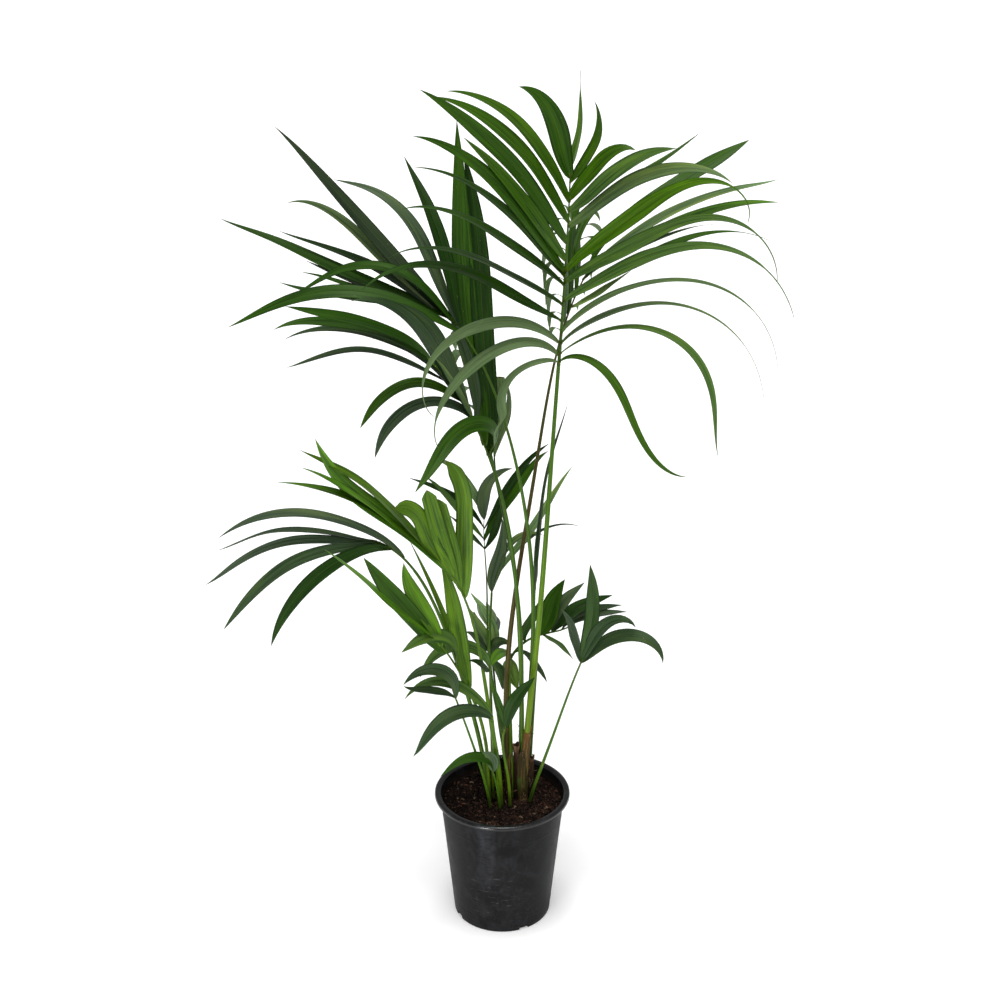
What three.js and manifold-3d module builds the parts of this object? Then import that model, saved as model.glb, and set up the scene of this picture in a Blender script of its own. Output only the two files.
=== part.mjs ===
// A kentia palm, 1.4 m tall above its soil, of several stems in one black plastic nursery pot.
// Millimetres, +Z up, the origin at the middle of the pot's flat underside.
import * as THREE from 'three';
import { mergeVertices } from 'three/addons/utils/BufferGeometryUtils.js';
import Module from 'manifold-3d';

const wasm = await Module();
wasm.setup();

// ---------------------------------------------------------------- driving dimensions
// The pot, a thrown-away kind moulded in one piece with a turned-out lip.
const POT_HEIGHT = 245.3;
const POT_RIM_RADIUS = 120;       // outside of the lip
const POT_TOP_RADIUS = 110;       // outside of the wall just under the lip
const POT_FOOT_RADIUS = 86;       // outside of the wall at the floor
const POT_WALL = 2.2;
const POT_FLOOR = 3;
const LIP_HEIGHT = 7;
const LIP_THICK = 2.4;
const POT_SIDES = 24;
const NOTCH_WIDTH = 18;           // drain openings through the foot of the wall
const NOTCH_HEIGHT = 8;
const NOTCH_TURNS = [-63, 27, 117, 207];   // degrees from the front, going right
// The root ball's soil, and the clearance between pieces.
const SOIL_TOP = 224.8;
const GAP = 0.3;
// The sheathed foot of the main stem.
const SHEATH_FOOT = [38.4, 5.6];
const SHEATH_HEAD = [42.4, 6.4];
const SHEATH_TOP = 372;
const SHEATH_RADII = [10.5, 9.2, 8.6];
// Leaflets and stalks.
const LEAF_KEEL = 2.2;            // depth of a leaflet's keel
const LEAF_STEPS = 5;             // most rings along one leaflet
const LEAF_STEP_LENGTH = 110;      // a ring for each of these lengths,
const LEAF_STEP_TURN = 42;         // or for each of these turns in degrees
const STALK_SAG = 1.1;            // how far a straight run may leave the curve
const RIB_SAG = 0.45;
const STALK_SIDES = 5;
const RIB_SIDES = 3;

// ---------------------------------------------------------------- geometry helpers
const RAD = Math.PI / 180;
const poly = (c, u) => c.reduce((sum, a, k) => sum + a * u ** k, 0);

// A growth line: it starts at `foot`, is `length` long, and its direction leans sideways by the
// angle tilt(u) and forward or back by the angle nod(u), both polynomials of the way u along it.
function growthLine(foot, length, tilt, nod, steps = 48) {
  const line = [new THREE.Vector3(...foot)];
  for (let i = 0; i < steps; i++) {
    const u = (i + 0.5) / steps, t = poly(tilt, u) * RAD, n = poly(nod, u) * RAD;
    const d = new THREE.Vector3(Math.sin(t) * Math.cos(n), Math.sin(n), Math.cos(t) * Math.cos(n));
    line.push(line[i].clone().addScaledVector(d, length / steps));
  }
  return line;
}
function pointOn(line, u) {
  const x = Math.min(Math.max(u, 0), 1) * (line.length - 1), i = Math.min(Math.floor(x), line.length - 2);
  return line[i].clone().lerp(line[i + 1], x - i);
}
function tangentOn(line, u) {
  const h = 0.02;
  return pointOn(line, Math.min(1, u + h)).sub(pointOn(line, Math.max(0, u - h))).normalize();
}

function solid(positions, indices) {
  const g = new THREE.BufferGeometry();
  g.setAttribute('position', new THREE.Float32BufferAttribute(positions, 3));
  g.setIndex(indices);
  return g;
}

// Closed round limb along a growth line between u0 and u1, tapering by radius(u). Where it starts at
// the ground its first ring is cut level.
function limb(line, u0, u1, radius, sides, rings, level = false) {
  const pos = [], idx = [];
  let side = null;
  for (let i = 0; i <= rings; i++) {
    const u = u0 + (u1 - u0) * i / rings, p = pointOn(line, u), t = tangentOn(line, u);
    if (!side) side = new THREE.Vector3(0, 1, 0);
    side = side.clone().addScaledVector(t, -side.dot(t)).normalize();
    const up = new THREE.Vector3().crossVectors(t, side), r = radius(u);
    for (let k = 0; k < sides; k++) {
      const a = 2 * Math.PI * (k + 0.5) / sides;
      const q = p.clone().addScaledVector(side, r * Math.cos(a)).addScaledVector(up, r * Math.sin(a));
      if (level && i === 0) q.addScaledVector(t, (p.z - q.z) / t.z);
      pos.push(q.x, q.y, q.z);
    }
  }
  for (let i = 0; i < rings; i++) for (let k = 0; k < sides; k++) {
    const a = i * sides + k, b = i * sides + (k + 1) % sides, c = a + sides, d = b + sides;
    idx.push(a, b, d, a, d, c);
  }
  const last = rings * sides;
  for (let k = 1; k < sides - 1; k++) { idx.push(0, k + 1, k); idx.push(last, last + k, last + k + 1); }
  return solid(pos, idx);
}

// Width of a leaflet along its length, from its narrow foot over its widest place to its tip.
function outline(u, widest) {
  if (u < widest) return 0.16 + 0.84 * Math.sin(u / widest * Math.PI / 2) ** 1.25;
  return 0.97 * (1 - ((u - widest) / (1 - widest)) ** 1.55) + 0.03 * (1 - (u - widest) / (1 - widest));
}

// Directions across a growth line, carried along it without twisting, one for each of its points.
function acrossLine(line) {
  const t0 = tangentOn(line, 0), list = [];
  let a = new THREE.Vector3(t0.y, -t0.x, 0);
  if (a.length() < 0.02) a.set(1, 0, 0);
  for (let i = 0; i < line.length; i++) {
    const t = tangentOn(line, i / (line.length - 1));
    a = a.clone().addScaledVector(t, -a.dot(t)).normalize();
    list.push(a);
  }
  return list;
}

// One leaflet: a thin keeled blade of its own outline along its growth line, ending in a point.
function leaflet(foot, L, W, widest, tilt, nod, roll) {
  const line = growthLine(foot, L, tilt, nod, 24), acrossAt = acrossLine(line);
  let turn = 0;
  for (let u = 0; u < 0.97; u += 0.02) turn += tangentOn(line, u).angleTo(tangentOn(line, u + 0.02)) / RAD;
  const n = Math.max(2, Math.min(LEAF_STEPS, Math.round(Math.max(L / LEAF_STEP_LENGTH, turn / LEAF_STEP_TURN))));
  const pos = [], idx = [];
  for (let i = 0; i < n; i++) {
    const u = i / n * 0.97, p = pointOn(line, u), t = tangentOn(line, u);
    const across = pointOn(acrossAt, u).addScaledVector(t, -pointOn(acrossAt, u).dot(t)).normalize();
    const up = new THREE.Vector3().crossVectors(across, t), a = poly(roll, u) * RAD;
    const normal = up.multiplyScalar(Math.cos(a)).addScaledVector(across, Math.sin(a));
    const side = new THREE.Vector3().crossVectors(t, normal), w = W / 2 * outline(u, widest);
    const keel = LEAF_KEEL * Math.min(1, 1.35 - u);
    for (const q of [p.clone().addScaledVector(side, -w), p.clone().addScaledVector(side, w),
                     p.clone().addScaledVector(normal, -keel)]) pos.push(q.x, q.y, q.z);
  }
  const tip = pointOn(line, 1);
  pos.push(tip.x, tip.y, tip.z);
  // Each four-sided face is halved along the diagonal that stands out, so a twisted blade can't cut itself.
  const at = (i) => new THREE.Vector3(...pos.slice(i * 3, i * 3 + 3));
  for (let i = 0; i < n - 1; i++) for (let k = 0; k < 3; k++) {
    const a = i * 3 + k, b = i * 3 + (k + 1) % 3, c = a + 3, d = b + 3, o = at(a);
    if (at(b).sub(o).cross(at(d).sub(o)).dot(at(c).sub(o)) < 0) idx.push(a, b, d, a, d, c);
    else idx.push(a, b, c, b, d, c);
  }
  const e = (n - 1) * 3;
  for (let k = 0; k < 3; k++) idx.push(e + k, e + (k + 1) % 3, n * 3);
  idx.push(0, 2, 1);
  return solid(pos, idx);
}

// ---------------------------------------------------------------- joining
// Vertices shared and normals dropped, so that a closed shape can be joined or cut.
function toSolid(geometry) {
  const g = geometry.clone();
  g.deleteAttribute('normal');
  g.deleteAttribute('uv');
  const m = mergeVertices(g, 1e-4);
  return new wasm.Manifold(new wasm.Mesh({
    numProp: 3,
    vertProperties: Float32Array.from(m.attributes.position.array),
    triVerts: Uint32Array.from(m.index.array),
  }));
}
function toGeometry(body) {
  const mesh = body.getMesh(), g = new THREE.BufferGeometry(), pos = [];
  for (let i = 0; i < mesh.vertProperties.length; i += mesh.numProp) {
    pos.push(mesh.vertProperties[i], mesh.vertProperties[i + 1], mesh.vertProperties[i + 2]);
  }
  g.setAttribute('position', new THREE.Float32BufferAttribute(pos, 3));
  g.setIndex(Array.from(mesh.triVerts));
  g.computeVertexNormals();
  return g;
}
// Crossing leaflets can shut in a pocket between them: its inner shell is left out, which fills it.
function filled(geometry) {
  const p = geometry.attributes.position, idx = geometry.index.array, group = Array.from({ length: p.count }, (_, i) => i);
  const root = (i) => { while (group[i] !== i) i = group[i] = group[group[i]]; return i; };
  for (let i = 0; i < idx.length; i += 3) {
    group[root(idx[i + 1])] = root(idx[i]);
    group[root(idx[i + 2])] = root(idx[i]);
  }
  const volume = new Map(), v = [0, 1, 2].map(() => new THREE.Vector3());
  for (let i = 0; i < idx.length; i += 3) {
    v.forEach((q, k) => q.fromBufferAttribute(p, idx[i + k]));
    const r = root(idx[i]);
    volume.set(r, (volume.get(r) ?? 0) + v[0].dot(v[1].clone().cross(v[2])) / 6);
  }
  const keep = [];
  for (let i = 0; i < idx.length; i += 3) if (volume.get(root(idx[i])) > 0) keep.push(idx[i], idx[i + 1], idx[i + 2]);
  geometry.setIndex(keep);
  const used = new Map(), pos = [], order = keep.map((i) => {
    if (!used.has(i)) { used.set(i, pos.length / 3); pos.push(p.getX(i), p.getY(i), p.getZ(i)); }
    return used.get(i);
  });
  const g = new THREE.BufferGeometry();
  g.setAttribute('position', new THREE.Float32BufferAttribute(pos, 3));
  g.setIndex(order);
  g.computeVertexNormals();
  return g;
}
const join = (shapes) => shapes.map(toSolid).reduce((a, b) => a.add(b));

const object = new THREE.Group();
function piece(name, geometry, colour, roughness, metalness = 0) {
  const material = new THREE.MeshStandardMaterial({ color: colour, roughness, metalness });
  material.name = name;
  const mesh = new THREE.Mesh(geometry, material);
  mesh.name = name;
  object.add(mesh);
}

// ---------------------------------------------------------------- pot and soil
// Wall radius outside at height z, straight from the foot up to the lip.
const wallRadius = (z) => POT_FOOT_RADIUS + (POT_TOP_RADIUS - POT_FOOT_RADIUS) * z / (POT_HEIGHT - LIP_HEIGHT);

function pot() {
  const lipFoot = POT_HEIGHT - LIP_HEIGHT;
  const profile = [
    [0, 0], [POT_FOOT_RADIUS, 0], [wallRadius(lipFoot), lipFoot],
    [POT_RIM_RADIUS, lipFoot], [POT_RIM_RADIUS, POT_HEIGHT - 1.5],
    [POT_RIM_RADIUS - 1.5, POT_HEIGHT], [POT_TOP_RADIUS - 1, POT_HEIGHT],
    [wallRadius(lipFoot - LIP_THICK) - POT_WALL, lipFoot - LIP_THICK],
    [wallRadius(POT_FLOOR) - POT_WALL, POT_FLOOR], [0, POT_FLOOR],
  ].map(([r, z]) => new THREE.Vector2(r, z));
  const lathe = new THREE.LatheGeometry(profile, POT_SIDES).rotateX(Math.PI / 2);
  let body = toSolid(lathe);
  if (body.volume() < 0) {
    const g = lathe.clone(), idx = Array.from(g.index.array);
    for (let i = 0; i < idx.length; i += 3) [idx[i + 1], idx[i + 2]] = [idx[i + 2], idx[i + 1]];
    g.setIndex(idx);
    body = toSolid(g);
  }
  for (const turn of NOTCH_TURNS) {
    const a = (turn - 90) * RAD, r = POT_FOOT_RADIUS;
    const cut = new THREE.BoxGeometry(26, NOTCH_WIDTH, NOTCH_HEIGHT * 2)
      .translate(r + 1, 0, 0).rotateZ(a);
    body = body.subtract(toSolid(cut));
  }
  return toGeometry(body);
}

function soil() {
  const low = POT_FLOOR + GAP, r0 = wallRadius(low) - POT_WALL - GAP, r1 = wallRadius(SOIL_TOP) - POT_WALL - GAP;
  return new THREE.CylinderGeometry(r1, r0, SOIL_TOP - low, POT_SIDES).rotateX(Math.PI / 2)
    .translate(0, 0, (SOIL_TOP + low) / 2);
}

piece('pot', pot(), 0x1c1d20, 0.42);
piece('soil', soil(), 0x3a2a20, 0.95);

// ---------------------------------------------------------------- fronds
// Each frond has a growth line from its foot: a stalk up to `bladeAt`, then the midrib of the blade.
// `radii` are the stalk's radii at foot, middle and tip. A leaflet's row gives its place on the line,
// length, width, widest place, tilt, nod and roll.
const FRONDS = [
  {
    name: 'tall_right', foot: [39.1, 0, 225.1], length: 1146.3,
    tilt: [1, 41.6, -167.2, 254.1, -142.8, 14.1], nod: [0.5, -6.9, 16, 1],
    radii: [7, 4.6, 1.6], bladeAt: 0.721,
    leaflets: [
      [0.99, 185.4, 33, 0.42, [-19.9, 47.1, -70.3, -35.1], [-9.3, -1.4, 0.3], [-91, -26, 49]],
      [0.954, 304.5, 26, 0.35, [-21.2, -26, 6.3, -55.7, 9.1], [-13.8, -2.9, 0.1], [-67, 9, 19]],
      [0.927, 338.7, 26, 0.45, [-26.8, 22.5, -160.7, 176.3, -87.1], [-16.3, -2.8, -0.6], [-71, 8, 18]],
      [0.898, 387.8, 26, 0.5, [-30.2, 45.2, -254.9, 337.2, -152.9], [-17.3, -4.4, 0.8], [-87, 13, 4]],
      [0.873, 316, 26, 0.4, [-30.3, 5.4, -5.6, -47.5, 37.5], [-22, -4.2, 0.7], [-74, -0, 10]],
      [0.858, 406.5, 26, 0.45, [-35.9, 82.6, -317.3, 405.7, -210.2], [-22.5, -5.8, -0.8], [-74, -16, 42]],
      [0.85, 393.4, 26, 0.3, [-34.1, 18.2, -73.1, 41.2, -28.6], [-26, -4.5, -3.1], [-47, -9, 39]],
      [0.838, 385.9, 24, 0.3, [-38.1, -26.4, 10, 62.4, -102.9], [-28.9, -4.4, -4.7], [-45, -7, 37]],
      [0.81, 392.4, 24, 0.3, [-45, -23.2, 39.1, -19.4, -60.8], [-29.8, -7, -4.8], [-28, -14, 49]],
      [0.787, 441.4, 24, 0.4, [-49.3, -21.3, 180.1, -411.1, 174.6], [-28.9, -4.6, -9.2], [-41, -28, 72]],
      [0.756, 392.8, 22, 0.5, [-37.4, -90.4, -156.6, 358, -321.9], [-26.4, -33.2, 15.3], [109, 85, -6]],
      [0.738, 364.4, 22, 0.55, [-32, -188.3, -145.1, 653.2, -508.7], [-28, -42.3, 23.2], [102, 136, -66]],
      [0.727, 287.4, 22, 0.45, [-16.6, -564.2, 1606.9, -2555.9, 1149.9], [-56.4, 125.4, -228.5], [117, 224, -169]],
      [1, 165.8, 24, 0.2, [14.3, 21.4, -107.5, -9.2, 98.4], [16.6, 0.8, -0.5], [-22, -2, 1]],
      [0.981, 144.5, 24, 0.3, [30.6, 53.9, -161.4, 46.2], [6.1, 1.2, -0.9], [21, -6, 15]],
      [0.958, 150.1, 26, 0.5, [21.5, 130.1, -362, 333.5], [-11.6, -1.1, -0.5], [66, 5, -25]],
      [0.942, 227.5, 26, 0.45, [47, -58.7, 128.4, -36.2], [-21.8, 0.6, -3.8], [61, 18, -37]],
      [0.921, 318.3, 26, 0.4, [49.8, -93.2, 377.2, -418.1, 210.8], [-21.9, -0.8, -4.5], [60, 3, -34]],
      [0.858, 412.8, 26.2, 0.45, [30, 139.1, -405, 353.9, 88.2], [-20.2, -2.9, -3.4], [80, 13, -50]],
      [0.842, 452.1, 24, 0.35, [40.6, 186, -879.2, 1499, -663.9], [-21.9, -4.9, -2.4], [65, 10, -47]],
      [0.815, 481.1, 24, 0.35, [42.9, 100.9, -444.2, 918.8, -452.7], [-23.3, -8.6, -0.7], [57, -12, -30]],
      [0.767, 511.8, 18, 0.25, [22.8, 217.2, -611.1, 1033.1, -477.3], [-23.2, -16.9, 4.7], [55, -67, 10]],
      [0.752, 497.3, 18, 0.25, [31.1, 155.4, -399.8, 829, -435.5], [-25.3, -19.7, 5.8], [42, -70, 10]],
      [0.738, 462, 22, 0.6, [35.8, 139.6, -397.9, 1189.4, -804.2], [-27.1, -25.2, 10.5], [54, -100, 33]],
      [0.725, 353.2, 24, 0.45, [22, 498.1, -602.3, 321.6, -177.3], [-32.2, -48, 39.9], [61, -223, 200]],
    ],
  },
  {
    name: 'upper_back', foot: [10.4, 10.3, 225.1], length: 974.7,
    tilt: [-0.1, -51.9, 436.5, -880.5, 609.3, -78.1], nod: [-2.7, 79.3, -198.9, 149.2],
    radii: [5.5, 3.6, 1.4], bladeAt: 0.833,
    leaflets: [
      [0.998, 365.9, 26, 0.75, [18.1, 183.8, -239, 111.6, -10.1], [24.5, -3.7, 2], [6, 28, -20]],
      [0.96, 360.1, 22, 0.5, [-9.7, -28.1, 862.4, -1426.9, 659.4], [13.7, 1.5, -1.5], [18, -9, 9]],
      [0.998, 394.1, 24, 0.45, [47.6, 136.5, -437.1, 715.7, -383.5], [27.8, -2.7, -0.8], [-2, 15, 0]],
      [0.992, 398.7, 26, 0.6, [53, 165.6, -518.8, 724.8, -324.2], [30.3, -2.7, -2.2], [1, 7, 12]],
      [0.979, 304.5, 22, 0.3, [51.5, 170.1, -445.9, 480, -138.4], [29.9, 0.3, -4.9], [-12, 0, 20]],
      [0.965, 366.8, 24, 0.4, [79, -79.6, 119.2, 70.8, -66.6], [18.9, 2.6, -5.3], [10, -26, 45]],
      [0.915, 215.9, 22, 0.4, [9.2, -51.7, 78.4, 0.9], [19.9, -1.3, 1.1], [-28, -2, 3]],
      [0.95, 157.2, 22, 0.4, [14.6, -69.9, 68.7, 27.9], [33.6, 2, -3], [-41, -20, 26]],
      [0.898, 157.1, 22, 0.3, [6.1, -15.2, -1.2, 9.4], [10.6, -0.2, 0.3], [-43, 3, -2]],
      [0.929, 132.5, 22, 0.3, [74.4, -29.8, 43.1, -19.3], [31.5, 7.4, -6.3], [176, -9, 7]],
    ],
  },
  {
    name: 'upper_middle', foot: [40.2, 12.4, 225.1], length: 927.7,
    tilt: [0.1, 27.4, -4.9, -397.7, 723.4, -393.5], nod: [-1.4, 32.9, -115.1, 104],
    radii: [5, 3.4, 1.3], bladeAt: 0.896,
    leaflets: [
      [0.963, 307.8, 22.3, 0.5, [-17.8, 51.7, -140.6, 54.7, 21.6], [14.3, 22, -3.3], [-25, 1, -4]],
      [0.969, 349.7, 22, 0.4, [-27.2, -38.8, 418.5, -1017.2, 582.3], [21.8, 3.5, -5.3], [-18, 15, -30]],
      [0.977, 455.6, 24.2, 0.4, [-53, 59.2, -184.5, 256.1, -131.6], [23.9, -0.5, -0.2], [-36, 5, -5]],
      [0.988, 375.2, 22, 0.5, [-59.4, -13.3, 164.9, -190.4, -24], [26.9, 6.1, -9.6], [-12, 40, -55]],
      [0.994, 362.5, 22, 0.4, [-74.7, 138.7, -472.1, 468.1, -136.9], [32, -3.4, -0.3], [-2, -3, -8]],
      [0.992, 470.7, 24, 0.5, [-59.1, -228.9, 835.7, -1131.4, 510], [29.5, -3.7, 1.1], [-13, -6, 5]],
      [0.998, 292.6, 22, 0.4, [-63.8, -135.6, 264.7, -142.2], [30.7, -5.9, 4.5], [1, -25, 26]],
      [1, 281.7, 22, 0.4, [-85.8, 1.3, 55.4, -61.8], [25, -0.2, -1.1], [-8, 13, -13]],
      [0.985, 314.7, 24, 0.5, [-60, -133.7, 179.1, -61.9], [17.4, -2.6, 2], [-5, -24, 23]],
      [0.975, 338.8, 22, 0.45, [-48.8, 142.8, -745.7, 703.8, -173.4], [14.3, -0.7, -1.9], [-12, -0, -27]],
      [0.958, 420.6, 24, 0.5, [-59.9, 19.7, -240.3, 154.6, 9.5], [3.6, 0.1, -0.4], [-41, 7, -16]],
    ],
  },
  {
    name: 'upper_left', foot: [34.3, 4, 225.1], length: 906.2,
    tilt: [-0.1, 10.2, -120.6, 390.1, -652, 345.7], nod: [2.7, -35.7, 171.3, -180.1],
    radii: [4.6, 3.4, 1.2], bladeAt: 0.726,
    leaflets: [
      [0.754, 540, 27.7, 0.45, [-0.7, -101.6, 374.6, -464, 190], [12.6, -8.6, -0.5], [13, 0, -2]],
      [0.731, 507.9, 27.7, 0.5, [10.8, -161.9, 537.4, -675.7, 276.6], [9.1, 1.2, -0.4], [24, 5, -4]],
      [0.802, 213, 22, 0.45, [16.3, -124.2, 127.3, -37.9], [12.9, 3.5, -2.3], [10, 17, -12]],
      [0.829, 273.3, 24, 0.5, [-11.4, -96.4, 434.6, -736.4, 324.2], [-10, -0.4, -1.8], [-81, -14, 42]],
      [0.869, 300.5, 22, 0.5, [-20.1, -26.3, 123.4, -256.4, 81.1], [-18.3, 1, -6.3], [-87, -18, 56]],
      [0.979, 300.1, 22, 0.6, [-24.6, -124.9, 121.1, -41, 3.4], [-23.4, -10.1, 4.6], [-68, 72, -49]],
      [0.958, 310.3, 24, 0.6, [-37.9, 11, -392.7, 713.2, -406.9], [-19.6, -6.6, 1.1], [-48, 42, -14]],
      [0.935, 299.5, 22, 0.5, [-36.1, -72.2, 56.6, -48.9, -14.3], [-17.5, -5.4, 0.8], [-39, 31, -5]],
      [0.908, 297.3, 22, 0.6, [-54.3, 14.6, -2.1, -340.2, 286.8], [-17.5, -6.4, 1.9], [-19, 18, 5]],
      [0.858, 218.1, 24, 0.65, [-45.2, 30.6, -391.3, 262.5, 0.7], [-18.8, -12.6, 6.5], [-46, 70, -33]],
      [0.815, 232.1, 24, 0.6, [-25.4, -179.6, 168.3, -322.3, 198], [-21.1, -14.9, 7.3], [-67, 111, -66]],
      [0.733, 282.7, 25.7, 0.5, [22.4, 78.8, -1656.6, 2483, -1062.5], [-20.2, -55.4, 32.1], [205, 50, 0]],
      [0.815, 151.8, 22, 0.4, [-11.3, -78.1, 145.9, -92.4], [-18.9, -1.3, -0.2], [-73, 24, -13]],
      [0.844, 232.2, 22, 0.4, [-31.1, 25.7, -115.9, 53.2], [-20.1, -0.3, -3.8], [-33, 6, 20]],
    ],
  },
  {
    name: 'strap_middle', foot: [34.4, 8, 340], length: 536.6,
    tilt: [-1, 0.5, 33.4, -173.8, 139.6], nod: [9.6, -31.1, 55.7, -30.2],
    radii: [2.4, 2, 1.4], bladeAt: 0.987,
    leaflets: [
      [0.996, 146.1, 23.2, 0.6, [3.1, 7.1, -15.8, 6.7], [-0, 0, -0], [89, -2, 3]],
      [0.996, 141.1, 18, 0.5, [15.5, 11.6, 5.1, -65.4], [4, 0.3, -0.1], [21, -16, 30]],
    ],
  },
  {
    name: 'middle_back', foot: [10.2, 14, 294.7], length: 451.4,
    tilt: [1.9, -197.9, 724.5, -731.8, -47.4, 255.3], nod: [11, 40, -127.9, 90.4],
    radii: [2.6, 1.8, 0.8], bladeAt: 0.867,
    leaflets: [
      [0.96, 162.5, 16.5, 0.4, [-28.2, -55.5, -49.1, 59.2], [10.5, 0.7, -0.6], [-16, 12, -10]],
      [0.915, 161.4, 16.5, 0.4, [-33.6, -42, 116.2, -96.8], [0, -0, 0], [-30, -2, 5]],
      [1, 155.4, 16.5, 0.35, [-9.3, -124.5, 268.9, -255.4], [7, 1.2, -0.7], [-31, 22, -14]],
      [0.877, 93.4, 16.5, 0.35, [-40.1, 2.2, -15.9, 2.7], [0, -0, 0], [-13, 0, 3]],
      [0.91, 196.5, 20.1, 0.5, [20.8, 55, 60.9, -357.2, 281.8], [22.7, -24.4, 1.2], [17, 2, -5]],
      [0.954, 192.5, 18, 0.5, [34.1, -14.2, 26.6, 8.7], [29.7, -34.3, 2.5], [-0, 4, -9]],
      [0.996, 123.6, 23.6, 0.35, [-8.3, 9.6, 115.1, -27.4], [-0, 0, -0], [-64, -28, -8]],
      [0.877, 99.8, 16.5, 0.4, [33.3, -40.3, 29.4, -21], [0, -0, 0], [42, 12, 1]],
    ],
  },
  {
    name: 'middle_dark', foot: [11.1, 14, 273.8], length: 353.3,
    tilt: [3, -155.2, 446, -410.3, 118.2], nod: [6.1, 76.8, -207.5, 136.5],
    radii: [2.4, 1.8, 1.2], bladeAt: 0.956,
    leaflets: [
      [0.969, 148.3, 25.6, 0.35, [-7.5, 145, -272.4, 130.8], [-3.7, -0.5, 0.4], [-103, -45, 52]],
      [0.975, 263.9, 14.6, 0.5, [7.1, 242.3, -621.8, 578.5, -163.1], [4.8, 11.2, 0.4], [36, -20, 18]],
      [0.996, 156.1, 18, 0.55, [29.3, -135.1, 312.1, -74.4], [-9.1, 26.2, 1.7], [44, -4, -6]],
      [0.973, 211.3, 16.5, 0.4, [20.8, 93.8, -120.8, 121.5], [32.9, -39.3, 3.3], [-37, 1, -0]],
    ],
  },
  {
    name: 'spear_slim', foot: [41.9, 16, 335], length: 297,
    tilt: [4.5, -9.8, 16.4, -9.5], nod: [4.8, 23.7, -89.1, 62.9],
    radii: [2.6, 2.2, 1.6], bladeAt: 0.945,
    leaflets: [
      [0.96, 363.8, 22, 0.3, [1.4, 30, -149.7, 322.1, -192.1], [3, 0.3, -0], [-39, -3, -4]],
      [0.988, 85.7, 24, 0.3, [1.7, 7.4, -3.2, -5.4], [-4, -0, -0], [84, -6, 7]],
    ],
  },
  {
    name: 'middle_left', foot: [-1.6, -16.8, 225.1], length: 554,
    tilt: [-3.7, -30.2, 92.5, -91, -2.7], nod: [4.7, -27.5, 10.6, -12.9],
    radii: [3.6, 2.6, 1], bladeAt: 0.802,
    leaflets: [
      [0.81, 277.5, 29.5, 0.4, [4.5, -59.1, 202.8, -194.5], [-7.3, -0.7, -0.4], [137, -26, 43]],
      [0.846, 210.1, 24, 0.55, [-6.4, -16.9, 22.3, -9.9], [-16.4, -2.3, 0.8], [-110, 11, -8]],
      [0.873, 226.3, 24, 0.55, [-14.9, -6.6, 41, -31.7], [-18.7, -1.4, 0.1], [-85, -9, 4]],
      [0.908, 243.9, 26, 0.5, [-6.6, -231.7, 721.7, -594.1], [-21.5, 13.8, -19.6], [-81, -58, 83]],
      [0.954, 382.7, 28.6, 0.5, [-35, 66.9, -487.8, 852.5, -411.6], [-19.2, -8.8, 7.5], [-81, 54, -65]],
      [0.988, 360.3, 24, 0.55, [-29.4, -45.2, 252.5, -522.1, 295.6], [-18.4, -2.3, -2.2], [-40, -1, 19]],
      [0.998, 349.6, 24, 0.5, [-34.3, -26.1, 76.4, -91.9, 19.8], [-23.8, -0.5, -4.1], [-29, -4, 16]],
      [1, 370.6, 24, 0.5, [-37.9, 31.6, -119.9, 54.9], [-23.1, -2.7, -4.8], [-33, 4, 22]],
    ],
  },
  {
    name: 'low_left', foot: [-22.5, 12, 225.1], length: 540.8,
    tilt: [-6.7, -15.7, -22.9, -63.1, 322.4, -300.9], nod: [-1.9, 39.6, -73.2, 59.2],
    radii: [2.8, 2, 0.9], bladeAt: 0.833,
    leaflets: [
      [0.89, 378.9, 22, 0.45, [-36.3, -244.4, 585, -814.2, 380.2], [14.7, 0.4, -3.5], [-9, 5, -31]],
      [0.996, 339.1, 22, 0.4, [-97.1, 88.2, -273.8, 116, 50.1], [24.1, -3.4, -1.8], [7, -3, -21]],
      [0.992, 365.8, 22, 0.45, [-97.8, 56.9, -204.2, 18, 102.2], [15.7, -2.1, -1.2], [-17, -9, -17]],
      [0.979, 363.2, 24, 0.5, [-100.3, 41.6, -351.1, 403.7, -140.4], [6.4, -1.5, 0.2], [-33, -16, -10]],
      [0.938, 313.4, 25.7, 0.5, [-75.5, -262.5, 497.7, -510.6, 186.3], [0, -0, 0], [-43, -18, -7]],
    ],
  },
  {
    name: 'low_front', foot: [-20.9, -4, 225.1], length: 398,
    tilt: [-6.2, 69.9, -344.6, 441.4, -190.1], nod: [-1.9, -19.2, 6.1, -9.2],
    radii: [2.8, 2.4, 1.2], bladeAt: 0.632,
    leaflets: [
      [0.644, 267.6, 26.8, 0.45, [-7.6, -13.6, 55, -55.3], [-5.9, 0.1, -0.6], [-100, -10, 15]],
      [0.904, 260.3, 26, 0.5, [-47, 174.6, -607.6, 819.3, -369.3], [-15.4, 0.2, -0.8], [-56, -14, 9]],
      [0.954, 182.6, 24, 0.5, [-12.9, -57.3, 65.7, 2.7], [-8.4, -1.7, 1.5], [-65, 40, -47]],
      [0.996, 297.8, 22, 0.4, [-39, -10.1, 54.3, -49.5], [-18.7, 0.2, -1.9], [-17, -11, 11]],
      [0.8, 162.7, 24, 0.5, [3.3, 61, -562, 381], [-14.1, -14, 2.6], [-110, 0, 0]],
    ],
  },
  {
    name: 'low_middle', foot: [10.7, 16, 314.3], length: 309.8,
    tilt: [-1.5, 126.8, -1146.7, 2754.7, -1685.1], nod: [38.8, -118.8, 155.4, -44],
    radii: [2.6, 2, 0.9], bladeAt: 0.54,
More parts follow.
